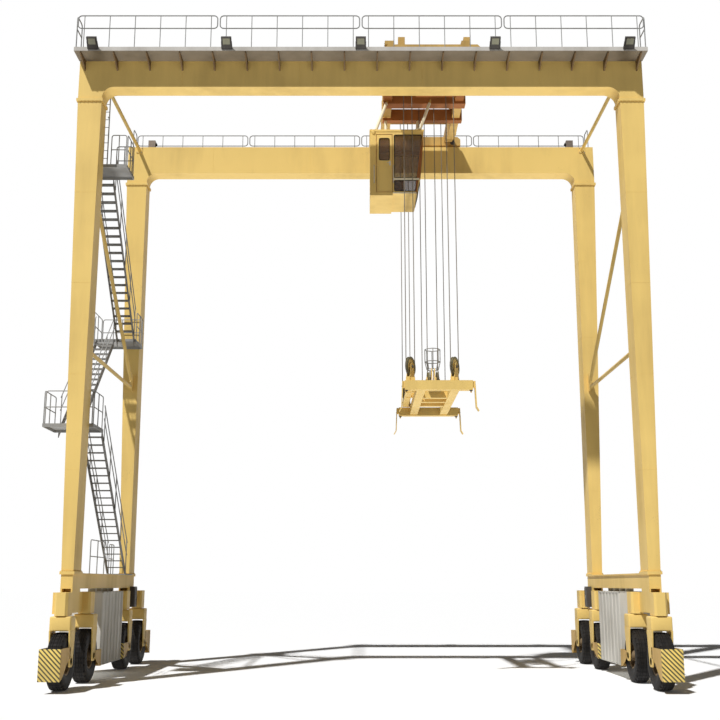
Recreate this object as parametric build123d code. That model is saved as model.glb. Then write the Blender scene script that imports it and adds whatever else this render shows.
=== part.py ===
from build123d import *
from math import atan2, cos, radians, sin
import os

os.makedirs("parts", exist_ok=True)

# Driving dimensions, in millimetres. X runs along the girders, Y along the travel way, Z up.
# All places are first given from the middle of the portal, and then moved so that the
# origin lies under the middle of the whole machine, stairs included.
LEFT_REACH = 10850.0
RIGHT_REACH = 10450.0
CENTRE_SHIFT = (LEFT_REACH - RIGHT_REACH) / 2

# Legs: the inner faces are plumb, the outer faces lean, and each leg tapers between flanges.
LEG_INNER_X = 9250.0
LEG_INNER_Y = 3680.0
LEG_TOP_X = 10100.0
LEG_TOP_Y = 4390.0
LEG_FOOT_X = 9640.0
LEG_FOOT_Y = 4650.0
LEG_FOOT_Z = 3550.0
LEG_TOP_Z = 20100.0
LEG_CENTRE_X = (LEG_INNER_X + LEG_FOOT_X) / 2
FLANGE = 50.0
FLANGE_LIP = 45.0

# Main girders with their knees, and the rails for the trolley.
GIRDER_UNDER_Z = 20600.0
GIRDER_TOP_Z = 21800.0
KNEE_FILLET = 420.0
GIRDER_Y = (LEG_INNER_Y + LEG_TOP_Y) / 2
RAIL_HEIGHT = 80.0
RAIL_WIDTH = 70.0
RAIL_END_X = 9300.0
RAIL_TOP_Z = GIRDER_TOP_Z + RAIL_HEIGHT

# Walkways outside the girders, and their handrails.
WALK_EDGE_Y = 5150.0
WALK_END_X = 10130.0
WALK_UNDER_Z = 21600.0
WALK_PLATE = 40.0
WALK_TOP_Z = WALK_UNDER_Z + WALK_PLATE
TOE_BOARD = 110.0
TOE_THICK = 12.0
WALK_BRACKETS = 18
RAIL_BAR = 42.0
HAND_RAIL_Z = 22990.0
MID_RAIL_Z = 22500.0
PANEL_LENGTH = 4990.0
PANEL_PITCH = 5040.0
POST_PITCH = 900.0
POSTS_PER_PANEL = 6
PANEL_COUNT = 4
END_FLATS = 5
LAMP_PITCH = 4725.0

# Sill beams, bogies and wheels.
SILL_UNDER_Z = 3050.0
SILL_TOP_Z = 3500.0
WHEEL_X = 9240.0
BOGIE_Y = 4200.0
WHEEL_STEP = 1400.0
WHEEL_FLATS = 32
TYRE_R = 870.0
TYRE_HALF = 250.0
TYRE_BULGE_R = 680.0
TREAD_HALF = 205.0
TREAD_EDGE = 45.0
TREAD_DROP = 22.0
RIM_R = 410.0
RIM_SEAT = 183.0
RIM_WALL = 40.0
RIM_DISH = (20.0, 60.0)
HUB_R = 150.0
HUB_FOOT = 30.0
HUB_HALF = 245.0
HUB_FLATS = 16
AXLE_R = 60.0
AXLE_GAP = 2.0
FORK_TOP_Z = 2220.0
FORK_CROWN = 440.0
FORK_HALF_X = 330.0
FORK_HALF_Y = 300.0
FORK_CHEEK = 50.0
CHEEK_WAIST = 170.0
CHEEK_TOE = 110.0
BOGIE_UNDER_Z = 2235.0
BOGIE_TOP_Z = 2940.0
HOUSING_HALF_X = 205.0
HOUSING_HALF_Y = 330.0
HOUSING_CHAMFER = 70.0
HANGER_PLATE = 50.0
HANGER_LOW_Z = 2300.0
HANGER_TAPER = 60.0
PIVOT_HALF = 110.0
KING_PIN_R = 90.0
KING_PIN_RISE = 12.0
GUARD_PLATE = 24.0
GUARD_WING = 14.0
GUARD_BACK_Y = 120.0
GUARD_REACH = {"outer": 1180.0, "inner": 1010.0}
GUARD_Z = {"outer": (360.0, 1300.0), "inner": (460.0, 1020.0)}

# Side bracing.
TIE_Z = 11100.0
DIAGONAL_Z = 16700.0
TIE_PIPE = 140.0
TOP_TIE_X = 9620.0
TOP_TIE_Z = 21650.0

# Power and electrical houses hung below the sills.
HOUSE_INNER_X = 8980.0
HOUSE_OUTER_X = RIGHT_REACH
HOUSE_HALF_Y = 1600.0
HOUSE_LOW_Z = 450.0
HOUSE_TOP_Z = 2940.0
HOUSE_RIBS = 7
HOUSE_SKIN = 30.0
HOUSE_HANGERS_Y = (-1300.0, -450.0, 450.0, 1300.0)

# Stairs on the left side: two lanes of flights between landings.
INNER_LANE = (-9850.0, -9150.0)
OUTER_LANE = (-10700.0, -9980.0)
FOOT_Z = LEG_FOOT_Z + 40.0
LANDING_Z = (8550.0, 12900.0, 17950.0)
LOWER_RUN = (2700.0, -2250.0)
MIDDLE_RUN = (-2250.0, 2300.0)
UPPER_RUN = (2300.0, -2450.0)
TREAD_PITCH = 250.0
TREAD_DEPTH = 230.0
TREAD_THICK = 32.0
TREAD_SINK = 118.0
STRINGER = 220.0
STRINGER_THICK = 22.0
STAIR_RAIL = 36.0
STAIR_POSTS = 5
RAIL_LIFTS = (560.0, 1050.0)
LEVEL_RAIL = 1150.0
CORNER_GAP = 45.0

# Trolley, its machinery and the operator's cabin.
TROLLEY_LEFT_X = 870.0
TROLLEY_RIGHT_X = 4360.0
SIDE_BEAMS = ((870.0, 1200.0), (3650.0, 3950.0))
BEAM_LOW_Z = 21450.0
BEAM_TOP_Z = 22500.0
CROSS_BEAMS = ((-1500.0, -1080.0), (0.0, 280.0))
CROSS_LOW_Z = 21350.0
CROSS_TOP_Z = 21830.0
CROSS_RIGHT_X = 4050.0
CARRIAGE_HALF_Y = 190.0
CARRIAGE_LOW_Z = 21950.0
CARRIAGE_TOP_Z = 22350.0
TRUCK_WHEEL_R = 200.0
TRUCK_GAP = 5.0
TRUCK_INSET = 350.0
MASTS = ((870.0, 1565.0), (3650.0, 4085.0))
MAST_HALF = 130.0
MAST_Y = (-2150.0, -1900.0)
MAST_FOOT = 120.0
MAST_TOP_Z = 23800.0
DRUM_Y = -600.0
DRUM_Z = 23220.0
DRUM_R = 400.0
DRUM_FLANGE_R = 470.0
DRUM_STEPS = ((1630.0, 1670.0, DRUM_FLANGE_R), (1670.0, 3330.0, DRUM_R),
              (3330.0, 3370.0, DRUM_FLANGE_R))
SHAFT_R = 90.0
MOTOR_R = 190.0
CAB_NEAR_Y = -2100.0
CAB_FAR_Y = -100.0
CAB_LEFT_X = 350.0
CAB_DOOR_WALL_X = 1190.0
CAB_LOW_Z = 17370.0
CAB_GLAZED_LOW_Z = 17440.0
CAB_ROOF_Z = 20000.0
CAB_WALL = 60.0
CAB_FLOOR_Z = 17500.0
CAB_FRONT = ((2080.0, 17440.0), (2220.0, 18010.0), (2330.0, 19200.0), (2380.0, 20000.0))
DOOR_X = (600.0, 1170.0)
DOOR_Z = (17510.0, 19790.0)
DOOR_GAP = 8.0
DOOR_THICK = 45.0
DOOR_PANE_X = (694.0, 1080.0)
DOOR_PANE_Z = (18770.0, 19650.0)
HINGE_Y = CAB_NEAR_Y - 12
HINGE_R = 10.0
HINGE_HEIGHTS = (17750.0, 18600.0, 19450.0)

# Headblock, sheaves, spreader and ropes.
LOAD_X = 2730.0
SPREADER_HALF_X = 1190.0
SPREADER_HALF_Y = 3050.0
END_BEAM = 300.0
SPREADER_LOW_Z = 9840.0
SPREADER_TOP_Z = 10170.0
HEAD_TOP_Z = 10420.0
CROSS_Y = 560.0
SHEAVE_R = 360.0
SHEAVE_HALF = 45.0
SHEAVE_Z = 10740.0
SHEAVE_Y = 2600.0
SHEAVE_TURN = 27.0
LEFT_SHEAVE_X = 1760.0
RIGHT_SHEAVE_X = 3330.0
ROPE_R = 16.0
ROPE_TOP_Z = 22560.0
TWISTLOCK_X = 2259.0
TWISTLOCK_Y = 5853.0
TWISTLOCK_R = 28.0
TWISTLOCK_LENGTH = 90.0
SHEAVE_FLATS = 24
PIN_R = 39.0
PIN_FLATS = 12
BASKET_R = 300.0
BASKET_Z = (11150.0, 11450.0, 11950.0)
BASKET_WIRE = 22.0
BASKET_WIRES = 8


# Shapes that many pieces are made from.

def block(x0, x1, y0, y1, z0, z1):
    """A box between two corners, given along each axis in any order."""
    size = (abs(x1 - x0), abs(y1 - y0), abs(z1 - z0))
    centre = ((x0 + x1) / 2, (y0 + y1) / 2, (z0 + z1) / 2)
    return Pos(*centre) * Box(*size)


def across(points, y0, y1):
    """An outline of X and Z points, carried from y0 to y1."""
    outline = Polyline(*[(x, y0, z) for x, z in points], close=True)
    return extrude(make_face(outline), amount=y1 - y0, dir=(0, 1, 0))


def along(points, x0, x1):
    """An outline of Y and Z points, carried from x0 to x1."""
    outline = Polyline(*[(x0, y, z) for y, z in points], close=True)
    return extrude(make_face(outline), amount=x1 - x0, dir=(1, 0, 0))


def bar(start, end, width, height=None):
    """A straight bar of rectangular section between two points."""
    run = Vector(*end) - Vector(*start)
    side = Vector(1, 0, 0) if abs(run.X) < 0.9 * run.length else Vector(0, 1, 0)
    plane = Plane(origin=start, x_dir=run.cross(side), z_dir=run)
    return extrude(plane * Rectangle(height or width, width), amount=run.length)


def pipe(start, end, radius, sides=8):
    """A straight pipe drawn with a few flat sides."""
    run = Vector(*end) - Vector(*start)
    plane = Plane(origin=start, z_dir=run)
    return extrude(plane * RegularPolygon(radius, sides), amount=run.length)


def turned(profile, sides):
    """A body turned about X, drawn with flat sides: the profile gives X and the reach of a flat."""
    half_turn = 180 / sides
    sections = []
    for x, reach in profile:
        plane = Plane(origin=(x, 0, 0), x_dir=(0, 1, 0), z_dir=(1, 0, 0))
        sections.append(plane * RegularPolygon(reach, sides, major_radius=False, rotation=half_turn))
    return loft(sections, ruled=True)


def round_ended(length, height):
    """A long outline whose half-round ends are drawn with a few flat sides."""
    radius = height / 2
    reach = length / 2 - radius
    points = []
    for side in (1, -1):
        for index in range(END_FLATS + 1):
            turn = radians(180 * index / END_FLATS - 90)
            points.append((side * (reach + radius * cos(turn)), side * radius * sin(turn)))
    return make_face(Polyline(*points, close=True))


def join(shapes):
    """One solid from pieces that are welded together."""
    shapes = list(shapes)
    return shapes[0].fuse(*shapes[1:]).clean() if len(shapes) > 1 else shapes[0]


def gather(shapes):
    """Like pieces on one body, kept as separate solids."""
    solids = []
    for shape in shapes:
        solids.extend(shape.solids())
    return Compound(children=solids)


def swap(shape, x_side, y_side):
    """The same piece on the left or right (x_side) and the near or far (y_side) side."""
    if x_side < 0:
        shape = mirror(shape, about=Plane.YZ)
    if y_side < 0:
        shape = mirror(shape, about=Plane.XZ)
    return shape


def write(name, shape):
    """One STEP file for one named piece."""
    export_step(Pos(CENTRE_SHIFT, 0, 0) * shape, f"parts/{name}.step")


# Portal: legs, girders with knees, sills and bogies.

def leg():
    """One tapered box leg between its two flanges, for the right far corner."""
    levels = ((LEG_FOOT_Z, LEG_FOOT_X, LEG_FOOT_Y), (LEG_TOP_Z, LEG_TOP_X, LEG_TOP_Y))
    sections = []
    for z, outer_x, outer_y in levels:
        centre = ((LEG_INNER_X + outer_x) / 2, (LEG_INNER_Y + outer_y) / 2, z)
        sections.append(Pos(*centre) * Rectangle(outer_x - LEG_INNER_X, outer_y - LEG_INNER_Y))
    shaft = loft(sections)
    top = block(LEG_INNER_X - FLANGE_LIP, LEG_TOP_X + FLANGE_LIP,
                LEG_INNER_Y - FLANGE_LIP, LEG_TOP_Y + FLANGE_LIP, LEG_TOP_Z - FLANGE, LEG_TOP_Z)
    foot = block(LEG_INNER_X - FLANGE_LIP, LEG_FOOT_X + FLANGE_LIP,
                 LEG_INNER_Y - FLANGE_LIP, LEG_FOOT_Y + FLANGE_LIP, LEG_FOOT_Z, LEG_FOOT_Z + FLANGE)
    return join([shaft, top, foot])


def girder():
    """The far girder: a box beam whose two knees come down to the leg flanges."""
    knee_z = LEG_TOP_Z + FLANGE
    outline = [(-LEG_TOP_X, knee_z), (-LEG_TOP_X, GIRDER_TOP_Z), (LEG_TOP_X, GIRDER_TOP_Z),
               (LEG_TOP_X, knee_z), (LEG_INNER_X, knee_z), (LEG_INNER_X, GIRDER_UNDER_Z),
               (-LEG_INNER_X, GIRDER_UNDER_Z), (-LEG_INNER_X, knee_z)]
    body = across(outline, LEG_INNER_Y, LEG_TOP_Y)
    inside = [e for e in body.edges().filter_by(Axis.Y)
              if abs(e.center().Z - GIRDER_UNDER_Z) < 1 and abs(abs(e.center().X) - LEG_INNER_X) < 1]
    body = fillet(inside, KNEE_FILLET)
    pieces = [body]
    for x_side in (-1, 1):
        pieces.append(block(x_side * (LEG_INNER_X - FLANGE_LIP), x_side * (LEG_TOP_X + FLANGE_LIP),
                            LEG_INNER_Y - FLANGE_LIP, LEG_TOP_Y + FLANGE_LIP, LEG_TOP_Z, knee_z))
    return join(pieces)


def sill_beam():
    """The right sill: a box beam with a top plate and two hangers that straddle each bogie."""
    beam = block(LEG_INNER_X, LEG_FOOT_X, -LEG_FOOT_Y, LEG_FOOT_Y, SILL_UNDER_Z, SILL_TOP_Z)
    plate = block(LEG_INNER_X - FLANGE_LIP, LEG_FOOT_X + FLANGE_LIP,
                  -LEG_FOOT_Y - FLANGE_LIP, LEG_FOOT_Y + FLANGE_LIP, SILL_TOP_Z, LEG_FOOT_Z)
    pieces = [beam, plate]
    hanger = [(LEG_INNER_Y, SILL_UNDER_Z), (LEG_FOOT_Y, SILL_UNDER_Z),
              (LEG_FOOT_Y - HANGER_TAPER, HANGER_LOW_Z), (LEG_INNER_Y + HANGER_TAPER, HANGER_LOW_Z)]
    for y_side in (-1, 1):
        outline = [(y_side * y, z) for y, z in hanger]
        pieces.append(along(outline, LEG_INNER_X, LEG_INNER_X + HANGER_PLATE))
        pieces.append(along(outline, LEG_FOOT_X - HANGER_PLATE, LEG_FOOT_X))
        pieces.append(block(LEG_INNER_X + HANGER_PLATE, LEG_FOOT_X - HANGER_PLATE,
                            y_side * (BOGIE_Y - PIVOT_HALF), y_side * (BOGIE_Y + PIVOT_HALF),
                            BOGIE_TOP_Z, SILL_UNDER_Z))
    return join(pieces)


def bogie_beam():
    """One balance beam with a king pin housing above each of its two wheels."""
    low, high = BOGIE_UNDER_Z + HANGER_PLATE, BOGIE_TOP_Z
    outer, inner = BOGIE_Y + WHEEL_STEP, BOGIE_Y - WHEEL_STEP
    pieces = [block(LEG_INNER_X + HANGER_PLATE, LEG_FOOT_X - HANGER_PLATE, inner, outer, low, high)]
    for y in (outer, inner):
        shell = block(WHEEL_X - HOUSING_HALF_X, WHEEL_X + HOUSING_HALF_X,
                      y - HOUSING_HALF_Y, y + HOUSING_HALF_Y, BOGIE_UNDER_Z, BOGIE_TOP_Z)
        pieces.append(chamfer(shell.edges().filter_by(Axis.Z), HOUSING_CHAMFER))
    return join(pieces)


for x_side, left_right in ((-1, "left"), (1, "right")):
    for y_side, near_far in ((-1, "front"), (1, "rear")):
        write(f"{near_far}_{left_right}_leg", swap(leg(), x_side, y_side))
    write(f"{left_right}_sill_beam", swap(sill_beam(), x_side, 1))

write("front_girder", swap(girder(), 1, -1))
write("rear_girder", girder())
write("bogie_beams", gather(swap(bogie_beam(), x, y) for x in (-1, 1) for y in (-1, 1)))


# Running gear: a fork on a king pin, a tyre and a rim for each of the eight wheels.

def guard(place):
    """The plate in front of one wheel and its two wings, whose lower edges rise to the fork."""
    reach = GUARD_REACH[place]
    low, high = GUARD_Z[place]
    pieces = [block(-FORK_HALF_X, FORK_HALF_X, reach, reach + GUARD_PLATE, low, high)]
    rise = high - low
    wing = [(reach, high), (reach, low), (reach - 220, low + 0.06 * rise), (reach - 450, low + 0.25 * rise),
            (reach - 700, low + 0.5 * rise), (GUARD_BACK_Y, low + 0.65 * rise), (GUARD_BACK_Y, high)]
    for side in (-1, 1):
        pieces.append(along(wing, side * (FORK_HALF_X - GUARD_WING), side * FORK_HALF_X))
    return pieces


def fork(place):
    """A wheel fork with its crown, cheeks, axle and the guard in front, opening to +Y."""
    crown_low = FORK_TOP_Z - FORK_CROWN
    crown = block(-FORK_HALF_X, FORK_HALF_X, -FORK_HALF_Y, FORK_HALF_Y, crown_low, FORK_TOP_Z)
    crown = chamfer(crown.edges().filter_by(Axis.Y).group_by(Axis.Z)[-1], FORK_CHEEK)
    cheek = [(-FORK_HALF_Y, crown_low + 10), (FORK_HALF_Y, crown_low + 10),
             (CHEEK_WAIST, TYRE_R - CHEEK_TOE), (CHEEK_TOE, TYRE_R - CHEEK_WAIST),
             (-CHEEK_TOE, TYRE_R - CHEEK_WAIST), (-CHEEK_WAIST, TYRE_R - CHEEK_TOE)]
    cheeks = []
    for side in (-1, 1):
        cheeks.append(along(cheek, side * (FORK_HALF_X - FORK_CHEEK), side * FORK_HALF_X))
    axle = Pos(0, 0, TYRE_R) * Rot(0, 90, 0) * Cylinder(AXLE_R, 2 * FORK_HALF_X)
    king_pin = Pos(0, 0, FORK_TOP_Z + KING_PIN_RISE / 2) * Cylinder(KING_PIN_R, KING_PIN_RISE)
    return join([crown] + cheeks + guard(place) + [axle, king_pin])


def tyre():
    """A balloon tyre: rounded shoulders between the tread and the bead."""
    half = [(RIM_SEAT + 2, RIM_R + 5), (TYRE_HALF, TYRE_BULGE_R), (TREAD_HALF, TYRE_R - TREAD_DROP),
            (TREAD_HALF - TREAD_EDGE, TYRE_R)]
    profile = [(-x, r) for x, r in half] + [(x, r) for x, r in reversed(half)]
    bore = turned([(-TYRE_HALF, RIM_R), (TYRE_HALF, RIM_R)], WHEEL_FLATS)
    return Pos(0, 0, TYRE_R) * (turned(profile, WHEEL_FLATS) - bore)


def rim():
    """A dished rim with a flanged well, a hub and a bore for the axle."""
    barrel = turned([(-RIM_SEAT, RIM_R), (RIM_SEAT, RIM_R)], WHEEL_FLATS)
    inside, outside = RIM_DISH
    lip, root = RIM_R - RIM_WALL, RIM_R - 1.5 * RIM_WALL
    barrel -= turned([(-RIM_SEAT - 1, lip), (inside, root)], WHEEL_FLATS)
    barrel -= turned([(outside, root), (RIM_SEAT + 1, lip)], WHEEL_FLATS)
    hub = turned([(-HUB_HALF, HUB_R), (inside, HUB_R + HUB_FOOT), (outside, HUB_R + HUB_FOOT),
                  (HUB_HALF, HUB_R)], HUB_FLATS)
    axle_bore = Rot(0, 90, 0) * Cylinder(AXLE_R + AXLE_GAP, 2 * HUB_HALF + 2)
    return Pos(0, 0, TYRE_R) * (join([barrel, hub]) - axle_bore)


for x_side, left_right in ((-1, "left"), (1, "right")):
    for y_side, near_far in ((-1, "front"), (1, "rear")):
        for out_side, place in ((1, "outer"), (-1, "inner")):
            spot = Pos(x_side * WHEEL_X, y_side * (BOGIE_Y + out_side * WHEEL_STEP), 0)
            name = f"{near_far}_{left_right}_{place}"
            write(f"{name}_fork", spot * swap(fork(place), x_side, y_side * out_side))
            write(f"{name}_tyre", spot * tyre())
            write(f"{name}_rim", spot * swap(rim(), x_side, 1))


# Side bracing: a tie and a diagonal between the legs, and a tie between the girders.

def side_bracing():
    """The three pipes of the right side, each with a gusset at both ends."""
    y = LEG_INNER_Y
    x0, x1 = LEG_CENTRE_X - 15, LEG_CENTRE_X + 15
    tie = [pipe((LEG_CENTRE_X, -y + 160, TIE_Z), (LEG_CENTRE_X, y - 420, TIE_Z), TIE_PIPE / 2)]
    tie.append(along([(-y, TIE_Z - 120), (-y, TIE_Z + 120), (-y + 260, TIE_Z + 50),
                      (-y + 260, TIE_Z - 50)], x0, x1))
    tie.append(along([(y, TIE_Z - 140), (y, TIE_Z + 520), (y - 260, TIE_Z + 620), (y - 620, TIE_Z + 60),
                      (y - 620, TIE_Z - 60)], x0, x1))
    rise = (DIAGONAL_Z - TIE_Z) / (2 * y)
    low_y, high_y = y - 330, -y + 230
    tie.append(pipe((LEG_CENTRE_X, low_y, TIE_Z + rise * (y - low_y)),
                    (LEG_CENTRE_X, high_y, TIE_Z + rise * (y - high_y)), TIE_PIPE / 2))
    tie.append(along([(-y, DIAGONAL_Z - 420), (-y, DIAGONAL_Z + 40), (-y + 330, DIAGONAL_Z - 190),
                      (-y + 330, DIAGONAL_Z - 330)], x0, x1))
    top = pipe((TOP_TIE_X, -y, TOP_TIE_Z), (TOP_TIE_X, y, TOP_TIE_Z), TIE_PIPE / 2)
    ends = [block(TOP_TIE_X - 130, TOP_TIE_X + 130, s * y, s * (y - 25), TOP_TIE_Z - 130, TOP_TIE_Z + 130)
            for s in (-1, 1)]
    return [join(tie), join([top] + ends)]


write("side_bracing", gather(swap(solid, x, 1) for x in (-1, 1) for solid in side_bracing()))


# Walkways, handrails, floodlights and trolley rails on the girders.

def walkway():
    """The far walkway: a floor plate with a toe board on brackets from the girder."""
    floor = block(-WALK_END_X, WALK_END_X, LEG_TOP_Y, WALK_EDGE_Y, WALK_UNDER_Z, WALK_TOP_Z)
    toe = block(-WALK_END_X, WALK_END_X, WALK_EDGE_Y - TOE_THICK, WALK_EDGE_Y, WALK_TOP_Z,
                WALK_TOP_Z + TOE_BOARD)
    bracket = [(LEG_TOP_Y, WALK_UNDER_Z), (WALK_EDGE_Y - 40, WALK_UNDER_Z),
               (WALK_EDGE_Y - 40, WALK_UNDER_Z - 90), (LEG_TOP_Y, WALK_UNDER_Z - 380)]
    pitch = (2 * LEG_TOP_X - 400) / (WALK_BRACKETS - 1)
    pieces = [floor, toe]
    for index in range(WALK_BRACKETS):
        x = -LEG_TOP_X + 200 + index * pitch
        pieces.append(along(bracket, x - 20, x + 20))
    return join(pieces)


def rail_panel():
    """One handrail panel with round ends, six posts and its middle rail, at X 0."""
    height = HAND_RAIL_Z - MID_RAIL_Z + RAIL_BAR
    centre_z = (HAND_RAIL_Z + MID_RAIL_Z) / 2
    y = WALK_EDGE_Y - TOE_THICK - RAIL_BAR
    plane = Plane(origin=(0, y, centre_z), x_dir=(1, 0, 0), z_dir=(0, 1, 0))
    inside = round_ended(PANEL_LENGTH - 2 * RAIL_BAR, height - 2 * RAIL_BAR)
    loop = round_ended(PANEL_LENGTH, height) - inside
    pieces = [extrude(plane * loop, amount=RAIL_BAR)]
    first = -POST_PITCH * (POSTS_PER_PANEL - 1) / 2
    for index in range(POSTS_PER_PANEL):
        x = first + index * POST_PITCH
        pieces.append(block(x - RAIL_BAR / 2, x + RAIL_BAR / 2, y, y + RAIL_BAR, WALK_TOP_Z, HAND_RAIL_Z))
    return join(pieces)


def end_rails(x):
    """The short rails across one end of the far walkway."""
    near, far = LEG_TOP_Y + 40, WALK_EDGE_Y - TOE_THICK - RAIL_BAR - 12
    pieces = [block(x, x + RAIL_BAR, near, near + RAIL_BAR, WALK_TOP_Z, HAND_RAIL_Z)]
    pieces.append(block(x, x + RAIL_BAR, far - RAIL_BAR, far, WALK_TOP_Z, HAND_RAIL_Z))
    for z in (HAND_RAIL_Z, MID_RAIL_Z):
        pieces.append(block(x, x + RAIL_BAR, near, far, z - RAIL_BAR, z))
    return join(pieces)


def handrail():
    """The far handrail: four panels side by side, and rails across both ends."""
    middle = (PANEL_COUNT - 1) / 2
    panels = [Pos((index - middle) * PANEL_PITCH, 0, 0) * rail_panel() for index in range(PANEL_COUNT)]
    return gather(panels + [end_rails(-LEG_TOP_X), end_rails(LEG_TOP_X - RAIL_BAR)])


def floodlight():
    """A floodlight that looks down from the outer edge of the far walkway."""
    y = WALK_EDGE_Y
    body = along([(y + 40, 21650), (y + 40, 22130), (y + 170, 22160), (y + 330, 21700)], -210, 210)
    arm = block(-60, 60, y, y + 60, 21660, 21740)
    return join([body, arm])


write("front_walkway", swap(walkway(), 1, -1))
write("rear_walkway", walkway())
write("front_handrail", swap(handrail(), 1, -1))
write("rear_handrail", handrail())
write("floodlights", gather(Pos(index * LAMP_PITCH, 0, 0) * swap(floodlight(), 1, side)
                            for side in (-1, 1) for index in range(-2, 3)))


def trolley_rail():
    """The far rail with its end stops."""
    rail = block(-RAIL_END_X, RAIL_END_X, GIRDER_Y - RAIL_WIDTH / 2, GIRDER_Y + RAIL_WIDTH / 2,
                 GIRDER_TOP_Z, RAIL_TOP_Z)
    stops = [block(s * (RAIL_END_X - 300), s * RAIL_END_X, GIRDER_Y - 120, GIRDER_Y + 120, GIRDER_TOP_Z,
                   GIRDER_TOP_Z + 420) for s in (-1, 1)]
    return join([rail] + stops)


write("trolley_rails", gather([trolley_rail(), swap(trolley_rail(), 1, -1)]))


# Stairs on the left side: stringers, treads, landings and handrails.

FLIGHTS = (
    (INNER_LANE, LOWER_RUN, (FOOT_Z, LANDING_Z[0])),
    (OUTER_LANE, MIDDLE_RUN, (LANDING_Z[0], LANDING_Z[1])),
    (INNER_LANE, UPPER_RUN, (LANDING_Z[1], LANDING_Z[2])),
)


def stringers(lane, run, rise):
    """The two side plates of one flight, cut level at both ends."""
    drop = STRINGER / cos(atan2(rise[1] - rise[0], abs(run[1] - run[0])))
    outline = [(run[0], rise[0]), (run[1], rise[1]), (run[1], rise[1] - drop), (run[0], rise[0] - drop)]
    low = rise[0]
    if low == FOOT_Z:
        step = (run[1] - run[0]) / (rise[1] - rise[0])
        outline = [(run[0], low), (run[1], rise[1]), (run[1], rise[1] - drop), (run[0] + step * drop, low)]
    left = along(outline, lane[0], lane[0] + STRINGER_THICK)
    right = along(outline, lane[1] - STRINGER_THICK, lane[1])
    return [left, right]


def treads(lane, run, rise):
    """The treads of one flight, each a plate between the stringers."""
    count = round((rise[1] - rise[0]) / TREAD_PITCH)
    tilt = (rise[1] - rise[0]) / (run[1] - run[0])
    step_z = (rise[1] - rise[0]) / count
    towards = 1 if run[1] > run[0] else -1
    pieces = []
    for index in range(1, count):
        z = rise[0] + index * step_z
        y = run[0] + (index * step_z + TREAD_SINK) / tilt
        back = y + towards * TREAD_DEPTH / 2
        front = y - towards * TREAD_DEPTH / 2
        pieces.append(block(lane[0] + STRINGER_THICK, lane[1] - STRINGER_THICK, front, back,
                            z - TREAD_THICK, z))
    return pieces


def stair_rails(lane, run, rise):
    """Handrails on both sides of one flight: two sloping rails on posts bolted to the stringers."""
    tilt = (rise[1] - rise[0]) / (run[1] - run[0])
    towards = 1 if run[1] > run[0] else -1
    start, end = run[0] + towards * 150, run[1] - towards * 150
    half = STAIR_RAIL / 2
    pieces = []
    for x in (lane[0] - half, lane[1] + half):
        parts = []
        for lift in RAIL_LIFTS:
            parts.append(bar((x, start, rise[0] + tilt * (start - run[0]) + lift),
                             (x, end, rise[0] + tilt * (end - run[0]) + lift), STAIR_RAIL))
        for index in range(STAIR_POSTS):
            y = start + (end - start) * (index + 0.1) / (STAIR_POSTS - 0.8)
            z = rise[0] + tilt * (y - run[0])
            parts.append(block(x - half, x + half, y - half, y + half, z - 150, z + RAIL_LIFTS[1]))
        pieces.append(join(parts))
    return pieces


def level_rail(start, end, floor_z):
    """A straight guard rail beside a landing: two rails on a post at each end and in the middle."""
    half = STAIR_RAIL / 2
    (x0, x1), (y0, y1) = sorted((start[0], end[0])), sorted((start[1], end[1]))
    parts = []
    for x, y in (start, ((x0 + x1) / 2, (y0 + y1) / 2), end):
        parts.append(block(x - half, x + half, y - half, y + half, floor_z, floor_z + LEVEL_RAIL))
    for z in (floor_z + LEVEL_RAIL - half, floor_z + LEVEL_RAIL / 2):
        parts.append(block(x0 - half, x1 + half, y0 - half, y1 + half, z - half, z + half))
    return join(parts)


def landing(x0, x1, y0, y1, z):
    """A landing plate with its top at z, stiffened by an edge channel."""
    plate = block(x0, x1, y0, y1, z - 20, z)
    rim_part = block(x0, x1, y0, y1, z - 120, z) - block(x0 + 30, x1 - 30, y0 + 30, y1 - 30, z - 130, z - 20)
    return join([plate, rim_part])


landings = [
    block(INNER_LANE[0] - 40, INNER_LANE[1] + 40, LOWER_RUN[0] - 60, LEG_INNER_Y - FLANGE_LIP - 2,
          LEG_FOOT_Z, FOOT_Z),
    landing(-LEFT_REACH, INNER_LANE[1] + 40, -LEG_INNER_Y, LOWER_RUN[1] - 2, LANDING_Z[0]),
    landing(-LEFT_REACH, INNER_LANE[1] + 40, MIDDLE_RUN[1] + 2, LEG_INNER_Y, LANDING_Z[1]),
    landing(INNER_LANE[0], -8400, -LEG_INNER_Y, UPPER_RUN[1] - 2, LANDING_Z[2]),
]
write("stair_landings", gather(landings))

stringer_solids = [solid for lane, run, rise in FLIGHTS for solid in stringers(lane, run, rise)]
write("stair_stringers", gather(stringer_solids))
write("stair_treads", gather(solid for lane, run, rise in FLIGHTS for solid in treads(lane, run, rise)))

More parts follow.
